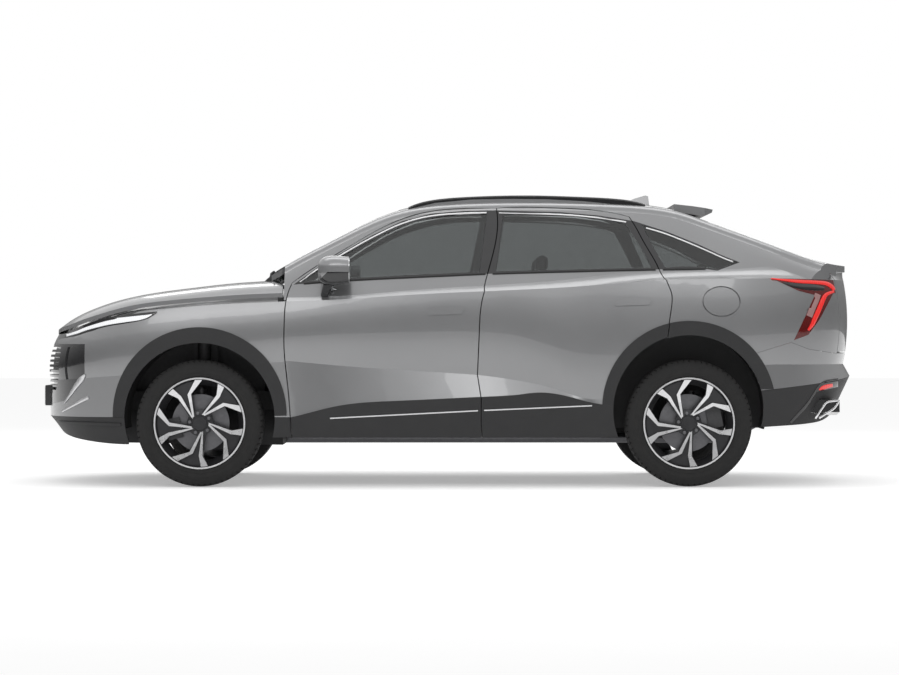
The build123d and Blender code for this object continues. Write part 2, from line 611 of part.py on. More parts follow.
grille_slots = [block(-2600, -2000, -560, 560, z, z + GRILLE_SLOT) for z in
                [GRILLE_LOW_Z + GRILLE_PITCH * (k + 0.6) for k in range(GRILLE_BARS)]]
groove_band = joined(nose_band(20, GRILLE_T - 6), mirrored(nose_band(20, GRILLE_T - 6)))
grille = grille_shell & grille_region
for slot in grille_slots:
    grille = grille - (groove_band & slot)
intake = nose_band(-8, 26) & intake_region

# Rear bumper with its dark lower part
rear_half = (side_band(0, FASCIA_T) & side_polygon(0, 1200, *rear_low)) - REAR_ARCH_HOLE
rear_low_cut = strip([1650, 1850, *TAIL_STATIONS], lambda x: [(-60, 100), (200, 100), (200, ROCKER_Z(x)),
                                                              (-60, ROCKER_Z(x))])
rear_low_keep = strip([1650, 1850, *TAIL_STATIONS],
                      lambda x: [(-60, 100), (200, 100), (200, ROCKER_Z(x) - 1), (-60, ROCKER_Z(x) - 1)])
rear_paint = rear_half - rear_low_cut
rear_dark = rear_half & rear_low_keep
rear_bumper = joined(rear_paint, mirrored(rear_paint))
rear_valance = joined(rear_dark, mirrored(rear_dark))
tail_lamp = side_band(1, 60) & tail_lamp_region

# Bonnet: a crowned sheet over the engine that wraps down to the side shut line
def bonnet_height(x, y):
    edge = SHOULDER_Z(x) + SHUT_GAP + 14
    half = flank(max(x - 40, NOSE_X + 1))[0]
    u = min(abs(y) / max(half, 60), 1.02)
    centre = max(BONNET_Z(x), edge)
    return centre - (centre - edge) * (0.3 * u**2 + 0.7 * u**10)


def bonnet_sheet():
    rows = []
    for i in range(15):
        v = (i / 14) ** 1.3
        row = []
        for j in range(-10, 11):
            u = j / 10
            front = end_x(abs(u) * BONNET_CORNER_Y, *NOSE) + 30
            x = front + v * (-900 - front)
            half = flank(end_x(BONNET_CORNER_Y, *NOSE) * (1 - v) - 900 * v)[0]
            y = u * max(half, BONNET_CORNER_Y)
            row.append(Vector(x, y, bonnet_height(x, y)))
        rows.append(row)
    return Face.make_surface_from_array_of_points(rows, tol=0.5, min_deg=3, max_deg=5)


def bonnet_plan(inset):
    """The plan region inside the side shut line, from the nose to the front doors."""
    right = [on_outline(x, SHOULDER_IN(x) + inset, 0) for x in NOSE_STATIONS + FENDER_STATIONS]
    right = [(p.X, p.Y) for p in right]
    left = [(x, -y) for x, y in right[1:]][::-1]
    def point(x, y):
        return Vector(x, y, 700)

    wire = outline(point, left + right, [right[-1], left[0]])
    return extrude(Face(wire), amount=1000, dir=(0, 0, 1))


fender_room = strip(NOSE_STATIONS + FENDER_STATIONS, lambda x: [
    (-40, SHOULDER_Z(x) - 150), (SHOULDER_IN(x) + 50, SHOULDER_Z(x) - 150),
    (SHOULDER_IN(x) + 50, SHOULDER_Z(x) + SHUT_GAP), (-40, SHOULDER_Z(x) + SHUT_GAP)])
bonnet = extrude(bonnet_sheet(), amount=BONNET_T, dir=(0, 0, -1))
bonnet = bonnet & bonnet_plan(1) & ahead_of(0) & block(-2600, -946, -1000, 1000, 700, 1300)
bonnet = largest(bonnet - fender_room - mirrored(fender_room))

# Surrounds of the front arches and the rear part of the rear ones
front_surround = NOSE_COVER & ring_over(FRONT_AXLE_X, FRONT_ARCH, FRONT_SURROUND, 388)
front_surround = front_surround - below_rocker(NOSE_STATIONS + FENDER_STATIONS)
rear_surround = (SIDE_COVER & ring_over(REAR_AXLE_X, REAR_ARCH, REAR_SURROUND, 560)) - DOOR_HOLES[1]
front_liner = arch_liner(FRONT_AXLE_X, FRONT_ARCH[1], WHEELHOUSE_Y - 20, 925) - nose_band(40, FASCIA_T + 1)
front_liner = largest(front_liner - block(-990, -900, 400, 1000, 0, 1200)
                      - block(-1500, -1340, 400, 600, 700, 900))

# Roof rails and antenna
def roof_rail():
    def ring(x, height):
        y, z = eave_y(x) + 16, ROOF_Z(x) - CROWN
        plane = Plane((x, y, z + height / 2 - 6), x_dir=(0, 1, 0), z_dir=(1, 0, 0))
        return plane * RectangleRounded(26, height + 12, 8)

    rail = loft([ring(x, h) for x, h in ((-230, 10), (-150, 26), (150, 36), (500, 38), (850, 34), (1080, 24),
                                         (1150, 10))])
    return rail - CABIN_BODY


antenna_profile = [(1062, 1640), (1062, 1662), (1120, 1690), (1188, 1710), (1205, 1706), (1212, 1640)]
antenna = (side_polygon(-20, 20, *antenna_profile) & front_polygon(
    1000, 1300, (-30, 1600), (30, 1600), (9, 1712), (-9, 1712))) - CABIN_ROOF

# Floor, front structure and engine
floor_pan = joined(
    block(-962, 960, -690, 690, 296, 326),
    block(940, 960, -598, 598, 296, 566),
    block(940, 2130, -598, 598, 546, 566),
    block(-984, -960, -688, 688, 296, 1090),
    block(-2230, -970, 380, 440, 430, 540),
    block(-2230, -970, -440, -380, 430, 540),
    block(-2262, -2226, -440, 440, 440, 560),
    block(2120, 2154, -520, 520, 500, 590),
)
engine_block = block(-2120, -1080, -340, 340, 330, 900)
engine_block = joined(fillet(engine_block.edges().filter_by(Axis.X), 60),
                      block(-1720, -1600, -380, 380, 450, 520))

# Wheels about the origin, the outer face along +Y
def turned(points):
    """A body of revolution about the wheel's axle from (radius, y) points."""
    profile = Face(Wire.make_polygon([Vector(r, y, 0) for r, y in points], close=True))
    return revolve(profile, Axis.Y, 360)


def dish(r):
    """How far the spoke faces stand out at a radius."""
    return 74 + 20 * (r / RIM_R) ** 2


def dish_layer(top, bottom):
    radii = [0, 130, 252]
    points = [(r, dish(r) - top) for r in radii] + [(r, dish(r) - bottom) for r in reversed(radii)]
    return turned(points)


def polar(r, degrees):
    """A point on the wheel's face, the angle running clockwise from the car's rear as seen from its left."""
    a = math.radians(-degrees)
    return r * math.cos(a), r * math.sin(a)


def spoke_prism(*points):
    return side_polygon(-150, 150, *points)


SPOKES = 5
half = TYRE_W / 2
tyre = turned([(RIM_R + 0.5, -half + 20), (RIM_R + 16, -half + 4), (310, -half), (342, -half + 8),
               (358, -half + 26), (TYRE_R, -half + 48), (TYRE_R, half - 48), (358, half - 26),
               (342, half - 8), (310, half), (RIM_R + 16, half - 4), (RIM_R + 0.5, half - 20)])
rw = RIM_W / 2
barrel = turned([(RIM_R - 9, -rw), (RIM_R, -rw), (RIM_R, -rw + 8), (228, -30), (228, 30), (RIM_R, rw - 8),
                 (RIM_R, rw), (RIM_R - 9, rw), (219, 28), (219, -30)])
web = []
arms = []
for k in range(SPOKES):
    base = 72 * k - 39
    web.append(spoke_prism(polar(34, base - 30), polar(60, base - 44), polar(190, base - 21),
                           polar(256, base - 26), polar(258, base), polar(256, base + 25),
                           polar(178, base + 6), polar(60, base - 10)))
    arms.append(spoke_prism(polar(48, base - 38), polar(188, base - 20), polar(256, base - 26.5),
                            polar(256, base - 17), polar(186, base - 13.5), polar(54, base - 27)))
    arms.append(spoke_prism(polar(48, base - 20), polar(174, base + 4.5), polar(256, base + 25.5),
                            polar(256, base + 16), polar(178, base - 2), polar(54, base - 29)))
rim = joined(barrel, *[dish_layer(12, 40) & w for w in web], *[dish_layer(0, 16) & a for a in arms],
             turned([(AXLE_R + AXLE_PLAY, 10), (75, 10), (75, 60), (50, 68), (48, 76), (0, 76), (0, 67),
                     (AXLE_R + AXLE_PLAY, 67)]))
disc = turned([(AXLE_R + AXLE_PLAY, DISC_Y - DISC_T), (DISC_R, DISC_Y - DISC_T), (DISC_R, DISC_Y),
               (74, DISC_Y), (74, 10), (AXLE_R + AXLE_PLAY, 10)])


def wheel_at(shape, axle_x, side):
    """A wheel piece set on its axle, outer face outwards; side is 1 for the right and -1 for the left."""
    placed = Pos(axle_x, WHEEL_Y, TYRE_R) * shape
    return placed if side > 0 else mirrored(placed)


# Knuckles, calipers and suspension, right-hand side
def caliper(axle_x, forward):
    """A fixed caliper over the rim of the brake disc, ahead of the axle or behind it."""
    inner, outer = WHEEL_Y + DISC_Y - DISC_T - 5, WHEEL_Y + DISC_Y + 5
    body = block(112, 196, inner - 22, outer + 14, -60, 60) - block(0, DISC_R + 7, inner, outer, -80, 80)
    arm = block(20, 130, inner - 22, inner - 4, -32, 32)
    piece = joined(body, arm)
    turn = 180 if forward else 0
    return Pos(axle_x, 0, TYRE_R) * Rot(0, turn - 12, 0) * piece


def stub(axle_x):
    return cross_rod(axle_x, STEER_Y, WHEEL_Y + 62, TYRE_R, AXLE_R)


PIN_LOW, PIN_HIGH = 188, 566
knuckle = joined(
    rod((FRONT_AXLE_X, STEER_Y, PIN_LOW), (FRONT_AXLE_X, STEER_Y, PIN_HIGH), KINGPIN_R),
    block(FRONT_AXLE_X - 44, FRONT_AXLE_X + 44, STEER_Y - 34, STEER_Y + 8, TYRE_R - 110, TYRE_R + 130),
    stub(FRONT_AXLE_X),
    caliper(FRONT_AXLE_X, True),
)


def eye(z0, z1):
    """A bearing eye round the kingpin."""
    a, b = (FRONT_AXLE_X, STEER_Y, z0), (FRONT_AXLE_X, STEER_Y, z1)
    return rod(a, b, 21)


def kingpin_bore(z0, z1):
    return rod((FRONT_AXLE_X, STEER_Y, z0), (FRONT_AXLE_X, STEER_Y, z1), KINGPIN_R + KINGPIN_PLAY)


def front_corner():
    x = FRONT_AXLE_X
    low = joined(eye(196, 228), block(x - 18, x + 18, 380, STEER_Y - 8, 198, 226))
    high = joined(eye(526, 558), block(x - 16, x + 16, 540, STEER_Y - 8, 530, 554),
                  rod((x, 560, 480), (x, 540, 930), 40), block(x - 70, x + 70, 446, 590, 915, 945),
                  block(x - 70, x + 70, 436, 466, 470, 945))
    return low - kingpin_bore(150, 300), high - kingpin_bore(450, 620)


low_arm, high_arm = front_corner()
subframe = joined(block(FRONT_AXLE_X - 120, FRONT_AXLE_X + 120, -400, 400, 196, 236),
                  block(FRONT_AXLE_X - 40, FRONT_AXLE_X + 40, 384, 436, 230, 432),
                  block(FRONT_AXLE_X - 40, FRONT_AXLE_X + 40, -436, -384, 230, 432))
front_suspension = joined(subframe, low_arm, mirrored(low_arm), high_arm, mirrored(high_arm)) - floor_pan
rear_corner = joined(
    block(REAR_AXLE_X - 50, REAR_AXLE_X + 50, STEER_Y - 34, STEER_Y + 8, TYRE_R - 70, TYRE_R + 70),
    stub(REAR_AXLE_X),
    caliper(REAR_AXLE_X, False),
    block(REAR_AXLE_X - 30, REAR_AXLE_X + 30, 480, STEER_Y - 20, 306, 340),
    rod((REAR_AXLE_X, 560, 330), (REAR_AXLE_X, 560, 546), 46),
)
rear_suspension = joined(block(REAR_AXLE_X - 90, REAR_AXLE_X + 90, -500, 500, 296, 350), rear_corner,
                         mirrored(rear_corner))

# Exhaust with its two finishers through the rear valance
tip_points = [(596, 404), (734, 424), (724, 496), (606, 486)]
tip_outer = front_polygon(2060, 2264, *tip_points)
tip_inner = front_polygon(2080, 2300, *[(665 + (y - 665) * 0.88, 452 + (z - 452) * 0.8) for y,
                                        z in tip_points])
tip_room = front_polygon(1900, 2500, *[(665 + (y - 665) * 1.06, 452 + (z - 452) * 1.1) for y,
                                       z in tip_points])
finisher = tip_outer - tip_inner
exhaust = joined(
    rod((-1060, 60, 250), (1700, 60, 250), 30),
    rod((1690, 60, 250), (1960, 60, 400), 30),
    block(1930, 2070, -690, 690, 390, 500),
    block(200, 240, 40, 80, 270, 296),
    block(1970, 2010, 280, 320, 490, 546),
    block(1970, 2010, -320, -280, 490, 546),
    finisher,
    mirrored(finisher),
)
rear_valance = rear_valance - tip_room - mirrored(tip_room)

# Cabin furniture
def seat(y, half_y):
    """One front seat: base, cushion, back and head restraint."""
    base = block(-120, 300, y - half_y + 60, y + half_y - 60, 326, 450)
    cushion = block(-190, 360, y - half_y, y + half_y, 440, 575)
    back = side_polygon(y - half_y, y + half_y, (250, 560), (395, 560), (600, 1170), (490, 1190))
    posts = block(530, 550, y - 60, y + 60, 1150, 1230)
    rest = block(500, 600, y - 130, y + 130, 1215, 1350)
    return joined(base, fillet(cushion.edges(), 30), fillet(back.edges(), 28), posts,
                  fillet(rest.edges(), 30))


SEAT_Y = 370
front_seats = both(seat(SEAT_Y, 245))
rear_cushion = fillet(block(850, 1340, -585, 585, 566, 690).edges(), 28)
rear_back = fillet(side_polygon(-585, 585, (1250, 640), (1390, 640), (1560, 1180), (1450, 1200)).edges(), 28)
rear_rests = [fillet(block(1452, 1540, y - 110, y + 110, 1180, 1300).edges(), 24) for y in (-380, 380)]
rear_seat = joined(rear_cushion, rear_back, *rear_rests)
dashboard = side_polygon(-680, 680, (-960, 700), (-640, 720), (-590, 860), (-640, 1000), (-880, 1080),
                         (-960, 1080))
console = fillet(block(-640, 420, -110, 110, 326, 600).edges().filter_by(Axis.X), 20)
dashboard = joined(dashboard, console)
WHEEL_TILT = 24
steering_wheel = Pos(-400, -SEAT_Y, 930) * Rot(0, -90 + WHEEL_TILT, 0) * joined(
    Torus(178, 15), Cylinder(52, 36), Box(350, 44, 16), Pos(0, 0, 0) * Box(40, 340, 16))
column = rod((-405, -SEAT_Y, 927), (-640, -SEAT_Y, 822), 30)
steering_wheel = joined(steering_wheel, column) - dashboard

# Plate holders and jacking pads
front_holder = block(NOSE_X - 10, -2340, -258, 258, 452, 572)
front_bumper = joined(front_bumper, front_holder, block(-2350, -2262, -60, 60, 460, 530))
grille = grille - block(-2500, -2300, -260, 260, 400, 574)
rear_holder = block(2290, 2356, -258, 258, 880, 1000)
plate_pocket = block(2348, 2400, -272, 272, 866, 1014)
tailgate = joined(tailgate - plate_pocket, rear_holder)


# Rubber stops that the tailgate and the fuel flap close on
tailgate_stop = block(2290, 2318, 280, 310, 735, TAILGATE_LOW_Z - STOP_GAP)
rear_bumper = joined(rear_bumper, tailgate_stop, mirrored(tailgate_stop))
flap_stop = side_band(-12 - STOP_GAP, 21) & cross_rod(flap_x, 700, 1000, flap_z, 8)
left_frame = joined(left_frame, mirrored(flap_stop))


def with_pads(frame, side):
    pads = [block(x - 45, x + 45, 715, 765, 284, 300) for x in (-720, 760)]
    return joined(frame, *[pad if side > 0 else mirrored(pad) for pad in pads])


PARTS = {
    "floor_pan": floor_pan,
    "body_side_right": with_pads(side_frame, 1),
    "body_side_left": with_pads(left_frame, -1),
    "roof_panel": roof_panel,
    "roof_rails": both(roof_rail()),
    "antenna": antenna,
    "windscreen": windscreen,
    "quarter_glass": both(quarter_glass),
    "cowl": cowl,
    "fenders": both(fender),
    "front_bumper": front_bumper,
    "front_valance": front_valance,
    "grille": Compound(children=[*grille.solids(), *intake.solids(), *mirrored(intake).solids()]),
    "headlamps": both(headlamp),
    "rear_bumper": rear_bumper,
    "rear_valance": rear_valance,
    "tail_lamps": both(tail_lamp),
    "arch_surrounds": Compound(children=[*both(front_surround).solids(), *both(rear_surround).solids()]),
    "front_liners": both(front_liner),
    "engine_block": engine_block,
    "front_suspension": front_suspension,
    "rear_suspension": rear_suspension,
    "exhaust": exhaust,
    "front_seats": front_seats,
    "rear_seat": rear_seat,
    "dashboard": dashboard,
    "steering_wheel": steering_wheel,
    "bonnet": bonnet,
    "tailgate": tailgate,
    "tailgate_glass": tailgate_glass,
    "spoiler": spoiler,
    "fuel_flap": mirrored(fuel_flap),
}
for side, tag in ((1, "right"), (-1, "left")):
    place = (lambda shape: shape) if side > 0 else mirrored
    PARTS["front_door_" + tag] = place(front_door)
    PARTS["front_door_glass_" + tag] = place(front_window)
    PARTS["front_door_trim_" + tag] = Compound(children=[
        *place(front_cladding).solids(), *place(front_handle).solids(), *place(mirror_housing).solids()])
    PARTS["rear_door_" + tag] = place(rear_door)
    PARTS["rear_door_glass_" + tag] = place(rear_window)
    PARTS["rear_door_trim_" + tag] = Compound(children=[*place(rear_cladding).solids(),
                                                        *place(rear_handle).solids()])
    PARTS["knuckle_" + tag] = place(knuckle)
    for end, axle_x in (("front", FRONT_AXLE_X), ("rear", REAR_AXLE_X)):
        name = end + "_" + tag
        PARTS["tyre_" + name] = wheel_at(tyre, axle_x, side)
        PARTS["rim_" + name] = Compound(children=[
            *wheel_at(rim, axle_x, side).solids(), *wheel_at(disc, axle_x, side).solids()])

os.makedirs("parts", exist_ok=True)
for name, shape in PARTS.items():
    export_step(shape, "parts/" + name + ".step")
    print(name, shape.is_valid, len(shape.solids()), round(shape.volume / 1e6, 3))
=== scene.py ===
# %% [markdown]
# # A coupe sport utility vehicle
# The panels, glass, wheels and hinges come ready-made as a fixed frame of CAD bodies. This lesson paints
# them, dresses them with the trim that catches the eye, and sets up a soft studio. Every new piece rides on
# the body that carries it, so it swings with its door or turns with its wheel.

# %% Load the frame
import bpy
import bmesh
import json
import math
from mathutils import Matrix, Vector


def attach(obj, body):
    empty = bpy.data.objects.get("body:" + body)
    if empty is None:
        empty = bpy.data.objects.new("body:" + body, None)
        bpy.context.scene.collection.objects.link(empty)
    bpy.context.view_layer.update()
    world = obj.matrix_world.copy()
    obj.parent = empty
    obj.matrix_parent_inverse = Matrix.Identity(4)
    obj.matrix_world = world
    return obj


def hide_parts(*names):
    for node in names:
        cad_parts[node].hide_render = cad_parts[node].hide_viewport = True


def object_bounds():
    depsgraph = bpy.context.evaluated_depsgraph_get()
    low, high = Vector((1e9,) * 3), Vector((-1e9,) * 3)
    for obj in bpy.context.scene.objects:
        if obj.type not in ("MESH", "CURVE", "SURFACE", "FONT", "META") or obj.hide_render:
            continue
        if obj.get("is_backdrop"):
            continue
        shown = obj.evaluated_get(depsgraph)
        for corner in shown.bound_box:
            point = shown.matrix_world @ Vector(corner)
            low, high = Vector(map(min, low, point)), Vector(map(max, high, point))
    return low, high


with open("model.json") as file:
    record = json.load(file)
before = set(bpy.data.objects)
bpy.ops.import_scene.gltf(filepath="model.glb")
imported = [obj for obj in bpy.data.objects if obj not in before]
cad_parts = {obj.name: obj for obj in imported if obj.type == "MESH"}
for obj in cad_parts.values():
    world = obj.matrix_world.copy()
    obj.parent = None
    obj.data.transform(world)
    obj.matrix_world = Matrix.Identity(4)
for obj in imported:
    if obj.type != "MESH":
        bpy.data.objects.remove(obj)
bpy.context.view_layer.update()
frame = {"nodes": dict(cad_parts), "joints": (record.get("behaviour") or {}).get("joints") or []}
nodes = frame["nodes"]

# %% [markdown]
# ## Writing shaders as sums
# A finish is easier to read as arithmetic than as a web of boxes. One small class wraps a socket: adding or
# multiplying two of them adds a Math node, and one method makes any other node.

# %% A socket that does arithmetic
class Shade:
    """A value travelling through one material's nodes."""

    def __init__(self, tree, socket=None):
        self.tree = tree
        self.socket = socket

    def node(self, kind, settings, inputs, out=0):
        made = self.tree.nodes.new(kind)
        for key, value in settings.items():
            if key == "stops":
                ramp = made.color_ramp
                while len(ramp.elements) < len(value):
                    ramp.elements.new(0.5)
                for element, (place, colour) in zip(ramp.elements, value):
                    element.position = place
                    element.color = (*colour, 1)
            elif key == "curve":
                line = made.mapping.curves[0]
                for place in value[2:]:
                    line.points.new(*place)
                for point, place in zip(line.points, value):
                    point.location = place
                    point.handle_type = "VECTOR"
                made.mapping.update()
            else:
                setattr(made, key, value)
        for key, value in inputs.items():
            if isinstance(value, Shade):
                self.tree.links.new(value.socket, made.inputs[key])
            else:
                made.inputs[key].default_value = value
        return Shade(self.tree, made.outputs[out] if made.outputs else None)

    def math(self, operation, first, second):
        return self.node("ShaderNodeMath", {"operation": operation}, {0: first, 1: second})

    def __add__(self, other):
        return self.math("ADD", self, other)

    def __radd__(self, other):
        return self.math("ADD", other, self)

    def __sub__(self, other):
        return self.math("SUBTRACT", self, other)

    def __rsub__(self, other):
        return self.math("SUBTRACT", other, self)

    def __mul__(self, other):
        return self.math("MULTIPLY", self, other)

    def __rmul__(self, other):
        return self.math("MULTIPLY", other, self)

    def __gt__(self, other):
        return self.math("GREATER_THAN", self, other)

    def __lt__(self, other):
        return self.math("LESS_THAN", self, other)


def new_finish(name):
    """An empty material and the Shade that its nodes start from."""
    material = bpy.data.materials.new(name)
    material.use_nodes = True
    material.node_tree.nodes.clear()
    return material, Shade(material.node_tree)


def close_finish(start, values):
    """Ends a material in one Principled shader."""
    shader = start.node("ShaderNodeBsdfPrincipled", {}, values)
    start.node("ShaderNodeOutputMaterial", {}, {"Surface": shader})


def object_place(start):
    return start.node("ShaderNodeTexCoord", {}, {}, out="Object")


def noise(start, place, scale, detail=4.0, roughness=0.55):
    return start.node("ShaderNodeTexNoise", {}, {"Vector": place, "Scale": scale, "Detail": detail,
                                                 "Roughness": roughness})


def blend_colour(start, mask, low, high):
    return start.node("ShaderNodeMix", {"data_type": "RGBA"}, {0: mask, 6: low, 7: high}, out=2)


def bump(start, height, strength, distance):
    return start.node("ShaderNodeBump", {}, {"Height": height, "Strength": strength, "Distance": distance})


print("shader helpers ready")

# %% [markdown]
# ## Body paint
# Silver-grey metallic lacquer is tiny flakes in a tinted base under a clear coat. A very fine noise
# scatters the flakes' tilt, a slow one varies the tone by a hair as sprayed paint does, and the coat on top
# gives the sharp reflection.

# %% Metallic paint
def lacquer(start):
    """The paint's shader, so that other finishes can mix it with trim."""
    place = object_place(start)
    flakes = noise(start, place, 2600.0, 2.0)
    drift = noise(start, place, 1.1, 3.0)
    tone = flakes * 0.35 + drift * 0.35
    colour = blend_colour(start, tone, (0.205, 0.207, 0.212, 1), (0.345, 0.347, 0.353, 1))
    dust = noise(start, place, 6.0, 5.0)
    tilt = bump(start, flakes, 0.05, 0.0004)
    return start.node("ShaderNodeBsdfPrincipled", {}, {
        "Base Color": colour, "Metallic": 0.65, "Roughness": 0.28 + dust * 0.08, "Normal": tilt,
        "Coat Weight": 1.0, "Coat Roughness": 0.035, "Coat IOR": 1.5})


def one_tone(name, shader):
    """A material that is one shader all over."""
    material, start = new_finish(name)
    start.node("ShaderNodeOutputMaterial", {}, {"Surface": shader(start)})
    return material


paint = one_tone("silver_grey_lacquer", lacquer)
print("paint mixed:", paint.name)

# %% [markdown]
# ## Grained plastic
# The sills, arches and valances are unpainted moulded plastic. Its leather-like grain is a cell pattern a
# millimetre or two across, pressed in by the mould, and the high spots are polished a little by hands and
# dust.

# %% Plastics
def grained_plastic(name, dark, light, cell, rough):
    material, start = new_finish(name)
    place = object_place(start)
    grain = start.node("ShaderNodeTexVoronoi", {"feature": "SMOOTH_F1"}, {"Vector": place, "Scale": cell})
    cloud = noise(start, place, 9.0, 5.0)
    colour = blend_colour(start, cloud * 0.8 + grain * 0.2, (*dark, 1), (*light, 1))
    close_finish(start, {"Base Color": colour, "Roughness": rough + cloud * 0.14,
                         "Normal": bump(start, grain, 0.35, 0.0006), "Specular IOR Level": 0.4})
    return material


def black_gloss(start):
    haze = noise(start, object_place(start), 14.0, 5.0)
    colour = blend_colour(start, haze, (0.006, 0.006, 0.007, 1), (0.016, 0.016, 0.018, 1))
    return start.node("ShaderNodeBsdfPrincipled", {}, {
        "Base Color": colour, "Roughness": 0.10 + haze * 0.08, "Coat Weight": 0.6, "Coat Roughness": 0.05})


cladding = grained_plastic("cladding_plastic", (0.018, 0.018, 0.019), (0.036, 0.036, 0.037), 900.0, 0.52)
cabin_plastic = grained_plastic("cabin_plastic", (0.020, 0.020, 0.022), (0.042, 0.042, 0.045),
                                1200.0, 0.6)
gloss_black = one_tone("gloss_black_trim", black_gloss)
print("plastics:", cladding.name, cabin_plastic.name, gloss_black.name)

# %% [markdown]
# ## One panel, two finishes
# The door frames round the side windows are gloss black and the same stamping is painted below the belt.
# Splitting the mesh would leave a ragged edge, so the finish itself decides: between the belt line and the
# arch of the window outline it is black, elsewhere it is paint. Both lines are curves along the car, read
# from Object coordinates.

# %% Window outline as curves
PHOTO_CENTRE = (449.5, 337.5)
CAMERA_BACK, CAMERA_HEIGHT, CAMERA_X = 18.0, 0.855, 0.010
FOCAL_PIXELS = 2989.5
METRES_PER_PIXEL = 1 / FOCAL_PIXELS
FLANK_OUT = 0.92
BELT_HEIGHT, GLASS_FOOT, GLASS_LEAN = 1.176, 0.845, 0.546


def from_photo(px, py, out=None):
    """Where a pixel of the photograph lies on the flank, or on a plane out metres from the middle."""
    deep = FLANK_OUT if out is None else out
    for _ in range(6):
        reach = (CAMERA_BACK - deep) * METRES_PER_PIXEL
        z = CAMERA_HEIGHT + (PHOTO_CENTRE[1] - py) * reach
        if out is None:
            deep = GLASS_FOOT - GLASS_LEAN * (z - BELT_HEIGHT) if z > BELT_HEIGHT else FLANK_OUT
    return (px - PHOTO_CENTRE[0]) * reach + CAMERA_X, z


window_arch = [(293, 284.2), (318, 267), (337.8, 254.9), (370.5, 236), (401.5, 221.3), (430.8, 213.6),
               (465.3, 210.7), (494.5, 210.3), (560, 212.1), (598, 215.4), (633.7, 221.1), (667, 231.7),
               (697.8, 244.1), (722.6, 255.6), (739.9, 262.3)]
window_belt = [(293, 284.4), (350.7, 280.2), (485.9, 273.9), (560, 271.8), (659.5, 269.5), (705.4, 269),
               (716.9, 270.9), (739.9, 262.3)]
SPAN_X = (-1.2, 2.0)
SPAN_Z = (1.0, 1.7)


def share(value, span):
    return (value - span[0]) / (span[1] - span[0])


def line_along_car(start, x, points, span_x=SPAN_X, span_z=SPAN_Z):
    """The height of a line through points (x, z) at each x, as a curve node."""
    curve = [(share(a, span_x), share(b, span_z)) for a, b in points]
    height = start.node("ShaderNodeFloatCurve", {"curve": curve},
                        {"Value": (x - span_x[0]) * (1 / (span_x[1] - span_x[0]))})
    return height * (span_z[1] - span_z[0]) + span_z[0]


def two_tone(name, first, second, mask):
    """A finish that is the second shader where mask(start, x, z) is one, and the first elsewhere."""
    material, start = new_finish(name)
    place = object_place(start)
    x = start.node("ShaderNodeSeparateXYZ", {}, {"Vector": place}, out="X")
    z = start.node("ShaderNodeSeparateXYZ", {}, {"Vector": place}, out="Z")
    mixed = start.node("ShaderNodeMixShader", {},
                       {0: mask(start, x, z), 1: first(start), 2: second(start)})
    start.node("ShaderNodeOutputMaterial", {}, {"Surface": mixed})
    return material


def inside_window(start, x, z):
    arch = [from_photo(*p) for p in window_arch]
    belt = [from_photo(*p) for p in window_belt]
    inside = (z > line_along_car(start, x, belt)) * (z < line_along_car(start, x, arch))
    return inside * (x > arch[0][0]) * (x < arch[-1][0])


framed_paint = two_tone("paint_with_black_frames", lacquer, black_gloss, inside_window)
print("two-tone paint ready")

# %% [markdown]
# ## Glass and lenses
# Privacy glass is dark all the way through, so light that goes in comes back tinted twice. A Principled
# shader with transmission does this; a film of dust varies the tint and the gloss by a hair.

# %% Glass
def tinted_glass(name, colour, clear, rough):
    material, start = new_finish(name)
    place = object_place(start)
    film = noise(start, place, 18.0, 4.0)
    tint = blend_colour(start, film, (*colour, 1), (*[min(1, c * 1.25) for c in colour], 1))
    close_finish(start, {"Base Color": tint, "Roughness": rough + film * 0.02, "Transmission Weight": clear,
                         "IOR": 1.5, "Coat Weight": 0.3})
    return material


window_glass = tinted_glass("privacy_glass", (0.22, 0.235, 0.235), 1.0, 0.01)
screen_glass = tinted_glass("windscreen_glass", (0.42, 0.45, 0.44), 1.0, 0.01)
red_lens = tinted_glass("tail_lamp_cover", (0.22, 0.008, 0.007), 0.55, 0.05)
print("glass ready")

# %% [markdown]
# ## Rubber and metals
# Tyre rubber is dull and slightly brown-black, browner where it has scuffed. Alloy is bright where it was
# turned on a lathe, with fine rings; steel and castings are duller.

# %% Rubber, alloy and steel
def tyre_rubber():
    material, start = new_finish("tyre_rubber")
    place = object_place(start)
    scuff = noise(start, place, 30.0, 6.0)
    fine = noise(start, place, 420.0, 3.0)
    colour = blend_colour(start, scuff, (0.012, 0.012, 0.0125, 1), (0.030, 0.0295, 0.029, 1))
    close_finish(start, {"Base Color": colour, "Roughness": 0.72 + scuff * 0.15,
                         "Normal": bump(start, fine, 0.25, 0.0006), "Specular IOR Level": 0.35})
    return material


def bare_metal(name, dark, light, scale, rough, metallic=1.0):
    material, start = new_finish(name)
    place = object_place(start)
    cloud = noise(start, place, scale, 6.0)
    fine = noise(start, place, scale * 22, 3.0)
    colour = blend_colour(start, cloud, (*dark, 1), (*light, 1))
    close_finish(start, {"Base Color": colour, "Metallic": metallic, "Roughness": rough + cloud * 0.18,
                         "Normal": bump(start, fine, 0.12, 0.0004)})
    return material


